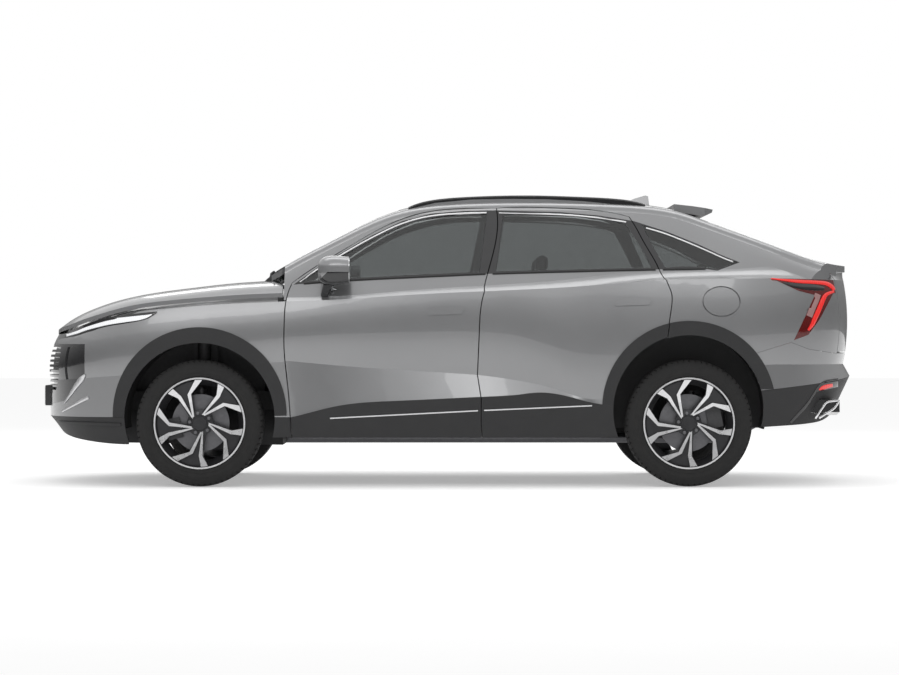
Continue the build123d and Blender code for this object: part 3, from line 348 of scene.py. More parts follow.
rubber = tyre_rubber()
machined_alloy = bare_metal("machined_alloy", (0.62, 0.62, 0.63), (0.78, 0.78, 0.79), 26.0, 0.20)
dark_alloy = bare_metal("dark_alloy", (0.020, 0.020, 0.022), (0.045, 0.045, 0.048), 30.0, 0.30, 0.4)
steel = bare_metal("brake_steel", (0.11, 0.11, 0.115), (0.20, 0.20, 0.21), 40.0, 0.30)
casting = bare_metal("cast_metal", (0.075, 0.075, 0.078), (0.14, 0.14, 0.143), 55.0, 0.55)
satin_silver = bare_metal("satin_silver", (0.60, 0.60, 0.61), (0.70, 0.70, 0.71), 20.0, 0.24)
bright = bare_metal("polished_trim", (0.74, 0.74, 0.75), (0.84, 0.84, 0.85), 16.0, 0.07)
print("metals ready")

# %% [markdown]
# ## Leather
# Seat leather has a pebbled grain a couple of millimetres across, with soft creases between the pebbles.

# %% Leather
def seat_leather():
    material, start = new_finish("seat_leather")
    place = object_place(start)
    pebble = start.node("ShaderNodeTexVoronoi", {"feature": "SMOOTH_F1"},
                        {"Vector": place, "Scale": 420.0})
    wear = noise(start, place, 7.0, 5.0)
    colour = blend_colour(start, wear, (0.022, 0.021, 0.021, 1), (0.05, 0.048, 0.047, 1))
    close_finish(start, {"Base Color": colour, "Roughness": 0.42 + wear * 0.16,
                         "Normal": bump(start, pebble, 0.3, 0.0008), "Sheen Weight": 0.12})
    return material


leather = seat_leather()
print("leather ready")

# %% [markdown]
# ## Painting the frame
# Each CAD node takes one finish first. Left and right nodes share the start of their name, so a table keyed
# by the longest start that fits dresses both. Nodes with several finishes are refined further down.

# %% Paint the CAD nodes
finish_of = {
    "floor_pan": casting, "body_side": framed_paint, "roof_panel": paint, "roof_rails": gloss_black,
    "antenna": paint, "windscreen": screen_glass, "quarter_glass": window_glass, "cowl": cladding,
    "fenders": paint, "front_bumper": paint, "front_valance": cladding, "grille": gloss_black,
    "headlamps": gloss_black,
    "rear_bumper": paint, "rear_valance": cladding, "tail_lamps": red_lens, "arch_surrounds": cladding,
    "front_liners": cladding, "engine_block": casting, "front_suspension": casting, "rear_suspension": casting,
    "exhaust": steel, "front_seats": leather, "rear_seat": leather, "dashboard": cabin_plastic,
    "steering_wheel": cabin_plastic, "bonnet": paint, "tailgate_glass": screen_glass, "tailgate": paint,
    "spoiler": paint, "fuel_flap": paint, "front_door_glass": window_glass, "rear_door_glass": window_glass,
    "front_door_trim": cladding, "rear_door_trim": cladding, "front_door": framed_paint,
    "rear_door": framed_paint, "knuckle": casting, "tyre": rubber, "rim": machined_alloy,
}
for name, piece in nodes.items():
    key = max((k for k in finish_of if name.startswith(k)), key=len)
    piece.data.materials.clear()
    piece.data.materials.append(finish_of[key])
print("painted", len(nodes), "nodes")

# %% [markdown]
# ## A few habits at the bench
# Every operator works on whatever is selected, so each piece starts by letting go of everything else. Faces
# are then picked by where they are or where they look, which survives a change of shape better than
# numbers. Trim that lies on a panel is drawn flat beside the car and pressed on with Shrinkwrap, as a real
# strip is.

# %% Selecting, pressing on and finishing
def let_go():
    """Leaves edit mode and deselects everything."""
    if bpy.context.mode != "OBJECT":
        bpy.ops.object.mode_set(mode="OBJECT")
    bpy.ops.object.select_all(action="DESELECT")


def hold(*pieces):
    """Selects only these pieces, the first one active."""
    let_go()
    for piece in pieces:
        piece.select_set(True)
    bpy.context.view_layer.objects.active = pieces[0]
    return pieces[0]


def edit(piece):
    hold(piece)
    bpy.ops.object.mode_set(mode="EDIT")


def pick(piece, wanted, kind="faces"):
    """In edit mode, selects the faces, edges or verts that wanted accepts."""
    bpy.ops.mesh.select_mode(type={"faces": "FACE", "edges": "EDGE", "verts": "VERT"}[kind])
    bpy.ops.mesh.select_all(action="DESELECT")
    mesh = bmesh.from_edit_mesh(piece.data)
    for part in getattr(mesh, kind):
        part.select_set(bool(wanted(part)))
    mesh.select_flush_mode()
    bmesh.update_edit_mesh(piece.data)


def modify(piece, kind, **settings):
    """Adds one modifier and applies it."""
    hold(piece)
    modifier = piece.modifiers.new(kind.lower(), kind)
    for key, value in settings.items():
        setattr(modifier, key, value)
    bpy.ops.object.modifier_apply(modifier=modifier.name)


def soften(piece, width, segments=2, angle=40):
    """Rounds the edges that turn by more than angle."""
    modify(piece, "BEVEL", width=width, segments=segments, limit_method="ANGLE",
           angle_limit=math.radians(angle))


def block(size, place=(0, 0, 0)):
    """A box to start from, alone in the selection."""
    let_go()
    bpy.ops.mesh.primitive_cube_add(size=1, location=place)
    piece = bpy.context.object
    piece.scale = size
    bpy.ops.object.transform_apply(location=True, scale=True)
    return piece


def face_out():
    """In edit mode, turns all faces outwards and goes back to object mode."""
    bpy.ops.mesh.select_all(action="SELECT")
    bpy.ops.mesh.normals_make_consistent(inside=False)
    bpy.ops.object.mode_set(mode="OBJECT")


def settle(piece, name, finish, body, sharp=35.0):
    """Names a piece, puts its place into its mesh, shades it and gives it to a body."""
    hold(piece)
    bpy.ops.object.transform_apply(location=True, rotation=True, scale=True)
    piece.name = name
    piece.data.name = name
    if finish is not None:
        piece.data.materials.clear()
        piece.data.materials.append(finish)
    bpy.ops.object.shade_smooth_by_angle(angle=math.radians(sharp))
    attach(piece, body)
    return piece


def twin(piece, name, body, matrix):
    """A copy with a mesh of its own, moved or mirrored by a matrix."""
    hold(piece)
    bpy.ops.object.duplicate(linked=False)
    copy = bpy.context.object
    copy.parent = None
    copy.data.transform(matrix)
    if matrix.determinant() < 0:
        copy.data.flip_normals()
    copy.name = name
    copy.data.name = name
    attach(copy, body)
    return copy


MIRROR = Matrix.Scale(-1, 4, (0, 1, 0))
print("bench ready")

# %% [markdown]
# ## Tyres
# A road tyre is a ring of rubber with a rounded shoulder, bead rings on its wall and a tread cut by
# grooves. One could sculpt it, but a section spun round the axle gives the ring in one go, and the grooves
# are then faces of that ring pushed in. The frame gives each wheel's centre.

# %% Section of the tyre, from one bead to the other
axle_of = {j["child"]: Vector(j["pos_m"]) for j in frame["joints"] if j["child"].startswith("wheel")}
TYRE_RADIUS = 0.364
TREAD_EDGE = 0.094
GROOVE_DEPTH = 0.007
GROOVES = ((0.010, 0.018), (0.046, 0.054))
BLOCK_EDGE = 0.030
TREAD_FLOOR = 0.350
PITCHES = 66
COLUMNS = 5
wall = [(0.2635, 0.096), (0.270, 0.108), (0.277, 0.1145), (0.284, 0.1165), (0.2865, 0.1150),
        (0.292, 0.1160), (0.304, 0.1178), (0.309, 0.1190), (0.312, 0.1178), (0.326, 0.1155), (0.338, 0.1110),
        (0.347, 0.1050), (0.354, 0.0985), (0.3585, TREAD_EDGE)]
ribs = [0.084, 0.070, *reversed(GROOVES[1]), BLOCK_EDGE, *reversed(GROOVES[0])]
crown = [(TYRE_RADIUS - 0.9 * max(0.0, y - 0.03) ** 2 - 0.0004, y) for y in ribs]
section = wall + crown
section = section + [(r, -y) for r, y in reversed(section)]
print("section points", len(section))

# %% Spin the section and cut the tread
def spun_tyre():
    let_go()
    bpy.ops.mesh.primitive_plane_add(size=0.01)
    tyre = bpy.context.object
    bpy.ops.object.mode_set(mode="EDIT")
    bpy.ops.mesh.merge(type="CENTER")
    start = Vector((0, section[0][1], section[0][0]))
    bpy.ops.transform.translate(value=start)
    for (r0, y0), (r1, y1) in zip(section, section[1:]):
        bpy.ops.mesh.extrude_region_move(TRANSFORM_OT_translate={"value": (0, y1 - y0, r1 - r0)})
    bpy.ops.mesh.select_all(action="SELECT")
    bpy.ops.mesh.spin(steps=PITCHES * COLUMNS, angle=math.tau, center=(0, 0, 0), axis=(0, 1, 0))
    bpy.ops.mesh.select_all(action="SELECT")
    bpy.ops.mesh.remove_doubles(threshold=0.0002)
    bpy.ops.mesh.normals_make_consistent(inside=False)
    return tyre


def is_groove(face):
    """Four grooves round the tyre, and cross grooves that step from rib to rib."""
    c = face.calc_center_median()
    y = abs(c.y)
    if math.hypot(c.x, c.z) < TREAD_FLOOR:
        return False
    if any(low < y < high for low, high in GROOVES):
        return True
    turn = math.atan2(c.z, c.x) / math.tau * PITCHES * COLUMNS
    column = int(turn // 1) % COLUMNS
    if y > GROOVES[1][1]:
        return column == (0 if c.y > 0 else 2)
    return GROOVES[0][1] < y < BLOCK_EDGE and column == (3 if c.y > 0 else 1)


tyre = spun_tyre()
pick(tyre, is_groove)
bpy.ops.mesh.extrude_region_shrink_fatten(TRANSFORM_OT_shrink_fatten={"value": -GROOVE_DEPTH})
settle(tyre, "tyre_pattern", rubber, "body", sharp=28)
print("tyre faces", len(tyre.data.polygons))

# %% One tyre for each wheel
for body, centre in axle_of.items():
    name = body.replace("wheel", "tyre")
    made = twin(tyre, name + "_tread", body, Matrix.Translation(centre))
    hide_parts(name)
bpy.data.objects.remove(tyre)
print("tyres on", sorted(axle_of))

# %% [markdown]
# ## Rims: bright faces over dark pockets
# The rim is painted dark all over and then turned on a lathe, which bares bright metal only on what stands
# furthest out: the arm faces and the lip. So brightness is a matter of depth: each face of the rim is
# compared with the dished plane that the lathe's tool followed.

# %% Sort the rim's faces by depth
RIM_RADIUS = 0.262
LIP_DEPTH = 0.092


def cut_by_lathe(face, centre, side):
    out = (face.center.y - centre.y) * side
    r = math.hypot(face.center.x - centre.x, face.center.z - centre.z)
    tool = 0.074 + 0.020 * (r / RIM_RADIUS) ** 2
    facing = face.normal.y * side
    arm = facing > 0.8 and 0.05 < r < 0.257 and out > tool - 0.005
    lip = r > 0.248 and out > LIP_DEPTH and facing > 0.5
    return arm or lip


for body, centre in axle_of.items():
    rim = nodes[body.replace("wheel", "rim")]
    side = 1 if centre.y > 0 else -1
    rim.data.materials.clear()
    for finish in (dark_alloy, machined_alloy, steel):
        rim.data.materials.append(finish)
    for face in rim.data.polygons:
        out = (face.center.y - centre.y) * side
        r = math.hypot(face.center.x - centre.x, face.center.z - centre.z)
        disc = out < 0.03 and r < 0.170
        face.material_index = 2 if disc else int(cut_by_lathe(face, centre, side))
    print(rim.name, "bright faces", sum(f.material_index == 1 for f in rim.data.polygons))

# %% [markdown]
# ## Wheel bolts and hub caps
# Five bolts hold each wheel. A bolt head is a hexagon with a domed, chamfered end and a washer face: a six-
# sided cylinder, inset and pushed out, gives it. It is modelled once and copied round the hub.

# %% One bolt, then five on a ring
BOLT_CIRCLE = 0.0585
BOLT_START = math.radians(101)
BOLT_OUT, CAP_OUT = 0.071, 0.078
FACING_OUT = (math.radians(90), 0, 0)


def wheel_bolt():
    let_go()
    bpy.ops.mesh.primitive_cylinder_add(vertices=6, radius=0.0105, depth=0.018, rotation=FACING_OUT)
    bolt = bpy.context.object
    bpy.ops.object.transform_apply(location=True, rotation=True, scale=True)
    edit(bolt)
    pick(bolt, lambda f: f.normal.y < -0.9)
    bpy.ops.mesh.inset(thickness=0.0022, depth=0.0018)
    bpy.ops.mesh.inset(thickness=0.004, depth=0.0012)
    bpy.ops.mesh.inset(thickness=0.0012, depth=-0.0016)
    pick(bolt, lambda f: f.normal.y > 0.9)
    bpy.ops.mesh.inset(thickness=0.001)
    bpy.ops.mesh.extrude_region_move(TRANSFORM_OT_translate={"value": (0, 0.003, 0)})
    bpy.ops.transform.resize(value=(1.45, 1, 1.45))
    bpy.ops.object.mode_set(mode="OBJECT")
    soften(bolt, 0.0007, 2, 30)
    return bolt


def hub_cap():
    """A blank cap: a shallow drum with a rolled edge and a dished middle."""
    let_go()
    bpy.ops.mesh.primitive_cylinder_add(vertices=64, radius=0.041, depth=0.006, rotation=FACING_OUT)
    cap = bpy.context.object
    bpy.ops.object.transform_apply(location=True, rotation=True, scale=True)
    edit(cap)
    pick(cap, lambda f: f.normal.y < -0.9)
    bpy.ops.mesh.inset(thickness=0.003, depth=0.0025)
    bpy.ops.mesh.inset(thickness=0.004)
    bpy.ops.mesh.inset(thickness=0.002, depth=-0.0022)
    bpy.ops.mesh.inset(thickness=0.012, depth=0.0006)
    bpy.ops.mesh.inset(thickness=0.010, depth=0.0004)
    bpy.ops.object.mode_set(mode="OBJECT")
    soften(cap, 0.0006, 2, 25)
    return cap


bolt = settle(wheel_bolt(), "bolt_pattern", steel, "body")
cap = settle(hub_cap(), "cap_pattern", dark_alloy, "body")
for body, centre in axle_of.items():
    side = 1 if centre.y > 0 else -1
    turn_out = Matrix.Identity(4) if side < 0 else MIRROR
    ring = []
    for k in range(5):
        a = BOLT_START + math.tau * k / 5
        spot = Vector((BOLT_CIRCLE * math.cos(a), -BOLT_OUT, BOLT_CIRCLE * math.sin(a)))
        move = Matrix.Translation(centre) @ turn_out @ Matrix.Translation(spot)
        ring.append(twin(bolt, f"{body}_bolt_{k}", body, move))
    hold(*ring)
    bpy.ops.object.join()
    ring[0].name = ring[0].data.name = body.replace("wheel", "wheel_bolts")
    move = Matrix.Translation(centre) @ turn_out @ Matrix.Translation((0, -CAP_OUT, 0))
    twin(cap, body.replace("wheel", "hub_cap"), body, move)
bpy.data.objects.remove(bolt)
bpy.data.objects.remove(cap)
print("bolts and caps fitted")

# %% [markdown]
# ## Strips along the flank
# A thin bright line follows the arch of the side windows, and another runs along the dark door cladding.
# Each is a roll-formed strip a few millimetres thick. A plane is stretched to the first stretch of the
# line, its end edge is extruded from point to point, and Shrinkwrap presses the ribbon on the panel that
# carries it.

# %% Ribbons pressed on a panel
BESIDE = 1.3
PIXEL = 0.00572
WAYS = {"side": (0, 2, 1), "plan": (0, 1, 2), "end": (1, 2, 0)}


def ribbon(points, width, out, way="side"):
    """A flat band along points, drawn beside, above or behind the car, out metres from its middle."""
    first, second, outward = WAYS[way]
    let_go()
    bpy.ops.mesh.primitive_plane_add(size=1)
    band = bpy.context.object
    edit(band)
    pick(band, lambda e: all(v.co.x > 0 for v in e.verts), "edges")
    for _ in points[2:]:
        bpy.ops.mesh.extrude_region_move(TRANSFORM_OT_translate={"value": (1, 0, 0)})
    bpy.ops.object.mode_set(mode="OBJECT")
    path = [Vector(p) for p in points]
    for v in band.data.vertices:
        k = round(v.co.x + 0.5)
        along = (path[min(k + 1, len(path) - 1)] - path[max(k - 1, 0)]).normalized()
        across = Vector((-along.y, along.x)) * (1 if v.co.y > 0 else -1)
        spot = path[k] + across * (width[k] if isinstance(width, list) else width) / 2
        v.co[first], v.co[second], v.co[outward] = spot.x, spot.y, out
    edit(band)
    bpy.ops.mesh.select_all(action="SELECT")
    bpy.ops.mesh.subdivide(number_cuts=1)
    bpy.ops.object.mode_set(mode="OBJECT")
    return band


def smooth_line(points, steps):
    """More points on a soft curve through the given ones."""
    made = []
    ends = [points[0], *points, points[-1]]
    for a, b, c, d in zip(ends, ends[1:], ends[2:], ends[3:]):
        for k in range(steps):
            t = k / steps
            made.append(tuple(0.5 * (2 * q + (r - p) * t + (2 * p - 5 * q + 4 * r - s) * t * t
                                     + (3 * q - p - 3 * r + s) * t ** 3) for p, q, r, s in zip(a, b, c, d)))
    return made + [points[-1]]


def press_on(band, target, side, thickness, way="side", lift=0.0005):
    """Lays a flat band on a piece and gives it its thickness. What overhangs keeps level with the rest."""
    outward = WAYS[way][2]
    out = band.data.vertices[0].co[outward]
    modify(band, "SHRINKWRAP", target=target, wrap_method="PROJECT", use_negative_direction=side > 0,
           use_positive_direction=side < 0, use_project_x=outward == 0, use_project_y=outward == 1,
           use_project_z=outward == 2)
    landed = [v.co.copy() for v in band.data.vertices if abs(v.co[outward] - out) > 0.01]
    for v in band.data.vertices:
        if abs(v.co[outward] - out) <= 0.01:
            level = v.co.copy()
            near = min(landed, key=lambda p: sum((p[k] - level[k]) ** 2 for k in WAYS[way][:2]))
            v.co[outward] = near[outward]
    edit(band)
    bpy.ops.mesh.select_all(action="SELECT")
    bpy.ops.mesh.normals_make_consistent(inside=False)
    faces = bmesh.from_edit_mesh(band.data).faces
    if sum(f.normal[outward] for f in faces) * side < 0:
        bpy.ops.mesh.flip_normals()
    bpy.ops.transform.shrink_fatten(value=lift)
    bpy.ops.mesh.extrude_region_shrink_fatten(TRANSFORM_OT_shrink_fatten={"value": thickness})
    face_out()
    soften(band, min(0.0008, thickness / 3))


def stand_in(*names):
    """One joined copy of several nodes, to be pressed on and then removed."""
    copies = []
    for name in names:
        hold(nodes[name])
        bpy.ops.object.duplicate(linked=False)
        copies.append(bpy.context.object)
    hold(*copies)
    if len(copies) > 1:
        bpy.ops.object.join()
    joined = bpy.context.object
    joined.parent = None
    for key in list(joined.keys()):
        del joined[key]
    return joined


def strip_pair(name, points, thickness, finish, targets, body, lift=0.0005):
    """Points (x, z, width) become a strip on the left side and its mirror image on the right."""
    for side, tag in ((-1, "left"), (1, "right")):
        under = stand_in(*[target.format(tag) for target in targets])
        band = ribbon([p[:2] for p in points], [max(p[2], 0.0015) for p in points], side * BESIDE)
        press_on(band, under, side, thickness, lift=lift)
        bpy.data.objects.remove(under)
        settle(band, f"{name}_{tag}", finish, body.format(tag))
    print(name, len(band.data.polygons), "faces")


def flank_strip(name, pixels, thickness, finish, targets, body, steps=4, deep=None):
    """A strip along pixels (x, y, width) of the photograph. deep(x) is its distance from the middle."""
    places = [(*from_photo(x, y, deep(x) if deep else None), wide * PIXEL) for x, y, wide in pixels]
    strip_pair(name, smooth_line(places, steps), thickness, finish, targets, body)


print("strip tools ready")

# %% Bright lines round the windows and on the cladding
LINE_WIDTH, SEAL_WIDTH, LINE_THICK = 1.3, 1.4, 0.003
front_arch = [(299, 281.8), (319, 268.4), (338.6, 256.6), (371.2, 238.2), (402, 223.8), (431, 216.2),
              (465.3, 213.3), (486.5, 213.0)]
rear_arch = [(499, 213.0), (560, 214.8), (598, 218.0), (626, 222.4)]
quarter_arch = [(646, 228.2), (667, 234.6), (697.8, 247), (722.6, 258), (733, 262)]
sill_front = [(330, 418.2), (400, 414.6), (478, 410.6)]
sill_rear = [(484, 410.3), (516, 408.9), (592, 405.6)]
for name, line, targets, body in (
        ("window_line_front", front_arch, ("front_door_{}", "front_door_glass_{}"), "front_door_{}"),
        ("window_line_rear", rear_arch, ("rear_door_{}", "rear_door_glass_{}"), "rear_door_{}"),
        ("window_line_quarter", quarter_arch, ("body_side_{}", "quarter_glass"), "body"),
        ("sill_line_front", sill_front, ("front_door_trim_{}",), "front_door_{}"),
        ("sill_line_rear", sill_rear, ("rear_door_trim_{}",), "rear_door_{}")):
    flank_strip(name, [(*p, LINE_WIDTH) for p in line], LINE_THICK, satin_silver, targets, body)

# %% Rubber seals along the belt
belt_front = [(303, 283.6), (350.7, 280.5), (420, 277.2), (485.6, 274.2)]
belt_rear = [(492.5, 274.0), (560, 272.1), (620, 270.7), (655.5, 269.9)]
belt_quarter = [(662.5, 269.8), (690, 269.4), (705.4, 269.3)]
for name, line, targets, body in (
        ("belt_seal_front", belt_front, ("front_door_{}", "front_door_glass_{}"), "front_door_{}"),
        ("belt_seal_rear", belt_rear, ("rear_door_{}", "rear_door_glass_{}"), "rear_door_{}"),
        ("belt_seal_quarter", belt_quarter, ("body_side_{}", "quarter_glass"), "body")):
    flank_strip(name, [(*p, SEAL_WIDTH) for p in line], LINE_THICK, rubber, targets, body)

# %% [markdown]
# ## Door trim: cladding, handle and mirror
# The trim node of each door is moulded in three finishes: grained cladding below, a body-coloured pull
# handle, and the mirror with a painted cap over a black base. The handle and mirror are told apart by
# height; the mirror's own split is a slanted line in its finish.

# %% Finishes on the trim nodes
CAP_LOW, CAP_BEND, CAP_SLOPE = 1.226, -0.68, 0.9
HANDLE_LOW, MIRROR_LOW = 0.96, 1.08


def above_split(start, x, z):
    return z > start.math("MINIMUM", CAP_LOW, CAP_LOW + (x - CAP_BEND) * CAP_SLOPE)


mirror_finish = two_tone("mirror_cap_and_base", black_gloss, lacquer, above_split)
for name, node in nodes.items():
    if "_door_trim_" not in name:
        continue
    node.data.materials.clear()
    for finish in (cladding, paint, mirror_finish):
        node.data.materials.append(finish)
    for face in node.data.polygons:
        high = face.center.z
        is_mirror = name.startswith("front") and high > MIRROR_LOW
        face.material_index = 2 if is_mirror else int(high > HANDLE_LOW)
    print(name, "finished")

# %% [markdown]
# ## The face
# A slim white light guide runs back from the nose inside a black bezel, and two silver blades cut across
# the corner of the bumper. Lamp, bumper and fender meet under the light guide, so the ribbons are pressed
# on a copy of all three, which is thrown away afterwards.

# %% Light guides
def light_guide(name, colour, ribs, strength):
    """A glowing moulding with fine ribs across it."""
    material, start = new_finish(name)
    place = object_place(start)
    rib = start.node("ShaderNodeTexWave", {"wave_type": "BANDS", "bands_direction": "X"},
                     {"Vector": place, "Scale": ribs, "Distortion": 0.4, "Detail": 2.0})
    base = blend_colour(start, rib, (*[c * 0.82 for c in colour], 1), (*colour, 1))
    close_finish(start, {"Base Color": base, "Roughness": 0.12 + rib * 0.06, "Emission Color": base,
                         "Emission Strength": strength, "Coat Weight": 0.6})
    return material


white_guide = light_guide("white_light_guide", (0.92, 0.93, 0.95), 26.0, 0.35)
red_guide = light_guide("red_light_guide", (0.78, 0.020, 0.016), 26.0, 0.45)
print("light guides:", white_guide.name, red_guide.name)

# %% Bezels, guides and blades
NOSE_TIP, NOSE_ROUND = 62, 50
TIP_OUT, CORNER_OUT = 0.62, 0.88


def nose_deep(px):
    """How far from the middle the nose lies at a pixel column."""
    return TIP_OUT + (CORNER_OUT - TIP_OUT) * min(1.0, max(0.0, (px - NOSE_TIP) / NOSE_ROUND))


corner = ("headlamps", "front_bumper", "fenders")
bezel_line = [(63.0, 336.0, 3.5), (76.5, 331.9, 7.0), (86.3, 328.0, 8.0), (105.9, 322.2, 8.8),
              (124.2, 319.4, 8.4), (138.2, 317.4, 7.8), (148.0, 315.4, 6.0), (157.5, 312.2, 1.2)]
guide_line = [(65.5, 335.6, 2), (76.5, 332.2, 3.4), (86.3, 328.4, 4.2), (105.9, 322.6, 5.6),
              (124.2, 320.0, 5.0), (138.2, 318.3, 4.5), (146.6, 316.7, 3.0), (152.3, 314.7, 0.7)]
upper_blade = [(86.2, 374.5, 1.6), (82.5, 379.0, 5.2), (77.0, 386.0, 4.6), (70.5, 395.5, 2.6),
               (64.8, 403.2, 0.8)]
lower_blade = [(89.3, 397.2, 3.4), (82, 401.0, 3.2), (72, 406.3, 2.8), (62.2, 411.6, 1.6)]
lip_line = [(57.5, 422.2, 1.8), (70, 422.6, 2.8), (95, 423.6, 3.2), (121, 424.6, 2.8)]
for name, line, thick, finish, slot, targets in (
        ("lamp_bezel", bezel_line, 0.002, gloss_black, "gloss_black", corner),
        ("daylight_guide", guide_line, 0.005, white_guide, "clear_lens", corner),
        ("blade_upper", upper_blade, 0.006, satin_silver, "bright_metal", ("front_bumper", "grille")),
        ("blade_lower", lower_blade, 0.006, satin_silver, "bright_metal", ("front_bumper",)),
        ("valance_lip", lip_line, 0.006, cladding, "dark_plastic", ("front_valance",))):
    flank_strip(name, line, thick, finish, targets, "body", 5, nose_deep)

# %% [markdown]
# ## Number plate
# The number plate is a blank pressing with a raised rim. It starts as a block the size of the holder's
# face; its front is inset and pushed back by a millimetre and a half.

# %% Blank plate
plate_white = grained_plastic("plate_enamel", (0.62, 0.62, 0.62), (0.70, 0.70, 0.70), 60.0, 0.30)
PLATE_MIDDLE = Vector((-2.3905, 0, 0.512))
PLATE_SIZE = (0.004, 0.500, 0.108)
PLATE_RIM, PLATE_DEPTH = 0.007, 0.0015

plate = block(PLATE_SIZE, PLATE_MIDDLE)
edit(plate)
pick(plate, lambda f: f.normal.x < -0.9)
bpy.ops.mesh.inset(thickness=PLATE_RIM)
bpy.ops.transform.translate(value=(PLATE_DEPTH, 0, 0))
bpy.ops.object.mode_set(mode="OBJECT")
soften(plate, 0.0012)
settle(plate, "front_plate", plate_white, "body")
print("plate on")

# %% [markdown]
# ## The tail
# The lamp is shaped like a seven. A bright red guide runs along its top edge and down its outer edge, the
# space under the top bar is dark, and the upper leg has a pale panel behind the red cover. Below, the
# bumper carries a reflector in a black groove, and a bright finisher frames the exhaust.

# %% Lamp parts
pale_panel = grained_plastic("pale_lamp_panel", (0.36, 0.20, 0.20), (0.44, 0.26, 0.25), 220.0, 0.22)


def tail_deep(px):
    """The tail lies about as far from the middle at every pixel column."""
    return 0.85


def tail_strips(rows, targets):
    for name, line, thick, finish, slot in rows:
        flank_strip(name, line, thick, finish, targets, "body", 4, tail_deep)


top_guide = [(770.6, 278.6, 0.7), (781.3, 279.8, 1.8), (799.7, 281.4, 3.2), (816.5, 282.0, 3.4),
             (828.8, 283.0, 3.8), (836.0, 286.4, 4.0), (838.4, 289.6, 3.2)]
leg_guide = [(838.0, 291.0, 2.2), (831.4, 293.0, 3.0), (827.2, 296.0, 4.0), (823.4, 303.0, 4.6),
             (819.8, 310.6, 4.6), (815.9, 318.2, 4.6), (813.0, 324.4, 3.8), (808.6, 330.2, 2.0)]
dark_bar = [(783, 282.8, 1.0), (797, 286.0, 5.0), (815, 287.4, 6.0), (827, 288.4, 3.4)]
leg_panel = [(819.6, 293.8, 6.6), (817.6, 299.0, 6.8), (814.2, 306.0, 6.8), (809.8, 316.4, 6.4)]
tail_strips([("lamp_top_guide", top_guide, 0.005, red_guide, "red_lens"),
             ("lamp_leg_guide", leg_guide, 0.005, red_guide, "red_lens"),
             ("lamp_dark_bar", dark_bar, 0.003, gloss_black, "gloss_black"),
             ("lamp_pale_panel", leg_panel, 0.003, pale_panel, "red_lens")], ("tail_lamps",))

# %% Reflector, groove and finisher
groove = [(791.2, 422.8, 2.4), (800, 413.8, 2.8), (808.6, 404.6, 2.8), (815.5, 394.6, 2.6),
          (820.8, 386.4, 2.4), (826.5, 381.8, 2.0), (834, 380.2, 1.8), (842.6, 379.2, 1.6)]
recess = [(818.6, 391.8, 1.6), (823.6, 387.8, 6.4), (831, 386.0, 7.0), (842.6, 384.4, 6.0)]
reflector = [(820.6, 389.8, 1.2), (824.6, 387.8, 3.8), (830, 386.4, 4.0), (835.6, 385.4, 3.0)]
# The reflector takes the red light guide's finish, so it glows a little although a reflector sends out no light
# of its own: a painted glow that stands in for the light it throws back.
tail_strips([("valance_groove", groove, 0.002, gloss_black, "gloss_black"),
             ("reflector_recess", recess, 0.003, gloss_black, "gloss_black"),
             ("reflector", reflector, 0.006, red_guide, "red_lens")], ("rear_valance", "rear_bumper"))

finisher = [(815.2, 418.6), (821.0, 409.8), (825.4, 403.4), (828.6, 401.6), (834, 400.9), (839.4, 400.6),
            (837.6, 403.6), (835.0, 407.2), (832.8, 409.4), (826, 413.6), (819.0, 418.2)]
FINISHER_OUT, FINISHER_WIDE, FINISHER_THICK = 0.7385, 0.011, 0.010
for side, tag in ((-1, "left"), (1, "right")):
    band = ribbon([from_photo(*p, 0.74) for p in finisher], FINISHER_WIDE, side * FINISHER_OUT)
    edit(band)
    bpy.ops.mesh.select_all(action="SELECT")
    bpy.ops.mesh.extrude_region_move(TRANSFORM_OT_translate={"value": (0, side * FINISHER_THICK, 0)})
    face_out()
    soften(band, 0.0025, 3)
    settle(band, f"exhaust_finisher_{tag}", bright, "body")

TIP_BACK, TIP_RIM = 2.05, 2.25
exhaust = nodes["exhaust"]
exhaust.data.materials.append(gloss_black)
exhaust.data.materials.append(bright)
for face in exhaust.data.polygons:
    rim = face.normal.x > 0.9 and face.center.x > TIP_RIM
    if face.center.x > TIP_BACK:
        face.material_index = 2 if rim else 1
print("tail dressed")

# %% [markdown]
# ## Where finishes change within a panel
# The lamp cover is black only beside its light guide, the bumper only on its plate holder and beside the
# grille, the roof rails only along their upper edge, and the fenders turn into cladding below the door's
# sill line. Faces deep in the wheel houses and behind the bonnet's corner are told apart by place.

# %% Lines across lamps, rails and fenders
lamp_foot = [from_photo(x, y + wide * 0.6, nose_deep(x)) for x, y, wide in bezel_line]
RAIL_OUT = 0.587
rail_line = [(404, 211.5), (408.6, 209.2), (435.1, 202.9), (471.8, 199.4), (510.6, 198.8), (547.3, 199.2),
             (584, 201.2), (622.9, 205.1), (642, 209.5)]
rail_foot = [from_photo(x, y, RAIL_OUT) for x, y in rail_line]
blade_line = [(50, 404), (64, 401), (70, 393), (77, 383), (82, 376), (90, 372)]
blade_edge = [from_photo(x, y, nose_deep(x)) for x, y in blade_line]
CORNER_TOP = from_photo(75, 344, nose_deep(75))[1]
CORNER_BACK = from_photo(85.5, 360, nose_deep(85))[0]
NOSE_SPAN, RAIL_SPAN = ((-2.4, -1.7), (0.7, 1.1)), ((-0.4, 1.4), (1.4, 1.8))
CORNER_SPAN = ((-2.5, -2.0), (0.4, 0.9))
SILL_HEIGHT = 0.40
HOLDER_LOW, HOLDER_HIGH, HOLDER_HALF, HOLDER_BACK = 0.449, 0.575, 0.262, -2.25


def beside_guide(start, x, z):
    return z > line_along_car(start, x, lamp_foot, *NOSE_SPAN)


def above_rail_foot(start, x, z):
    return z > line_along_car(start, x, rail_foot, *RAIL_SPAN)


def below_sill(start, x, z):
    return z < SILL_HEIGHT


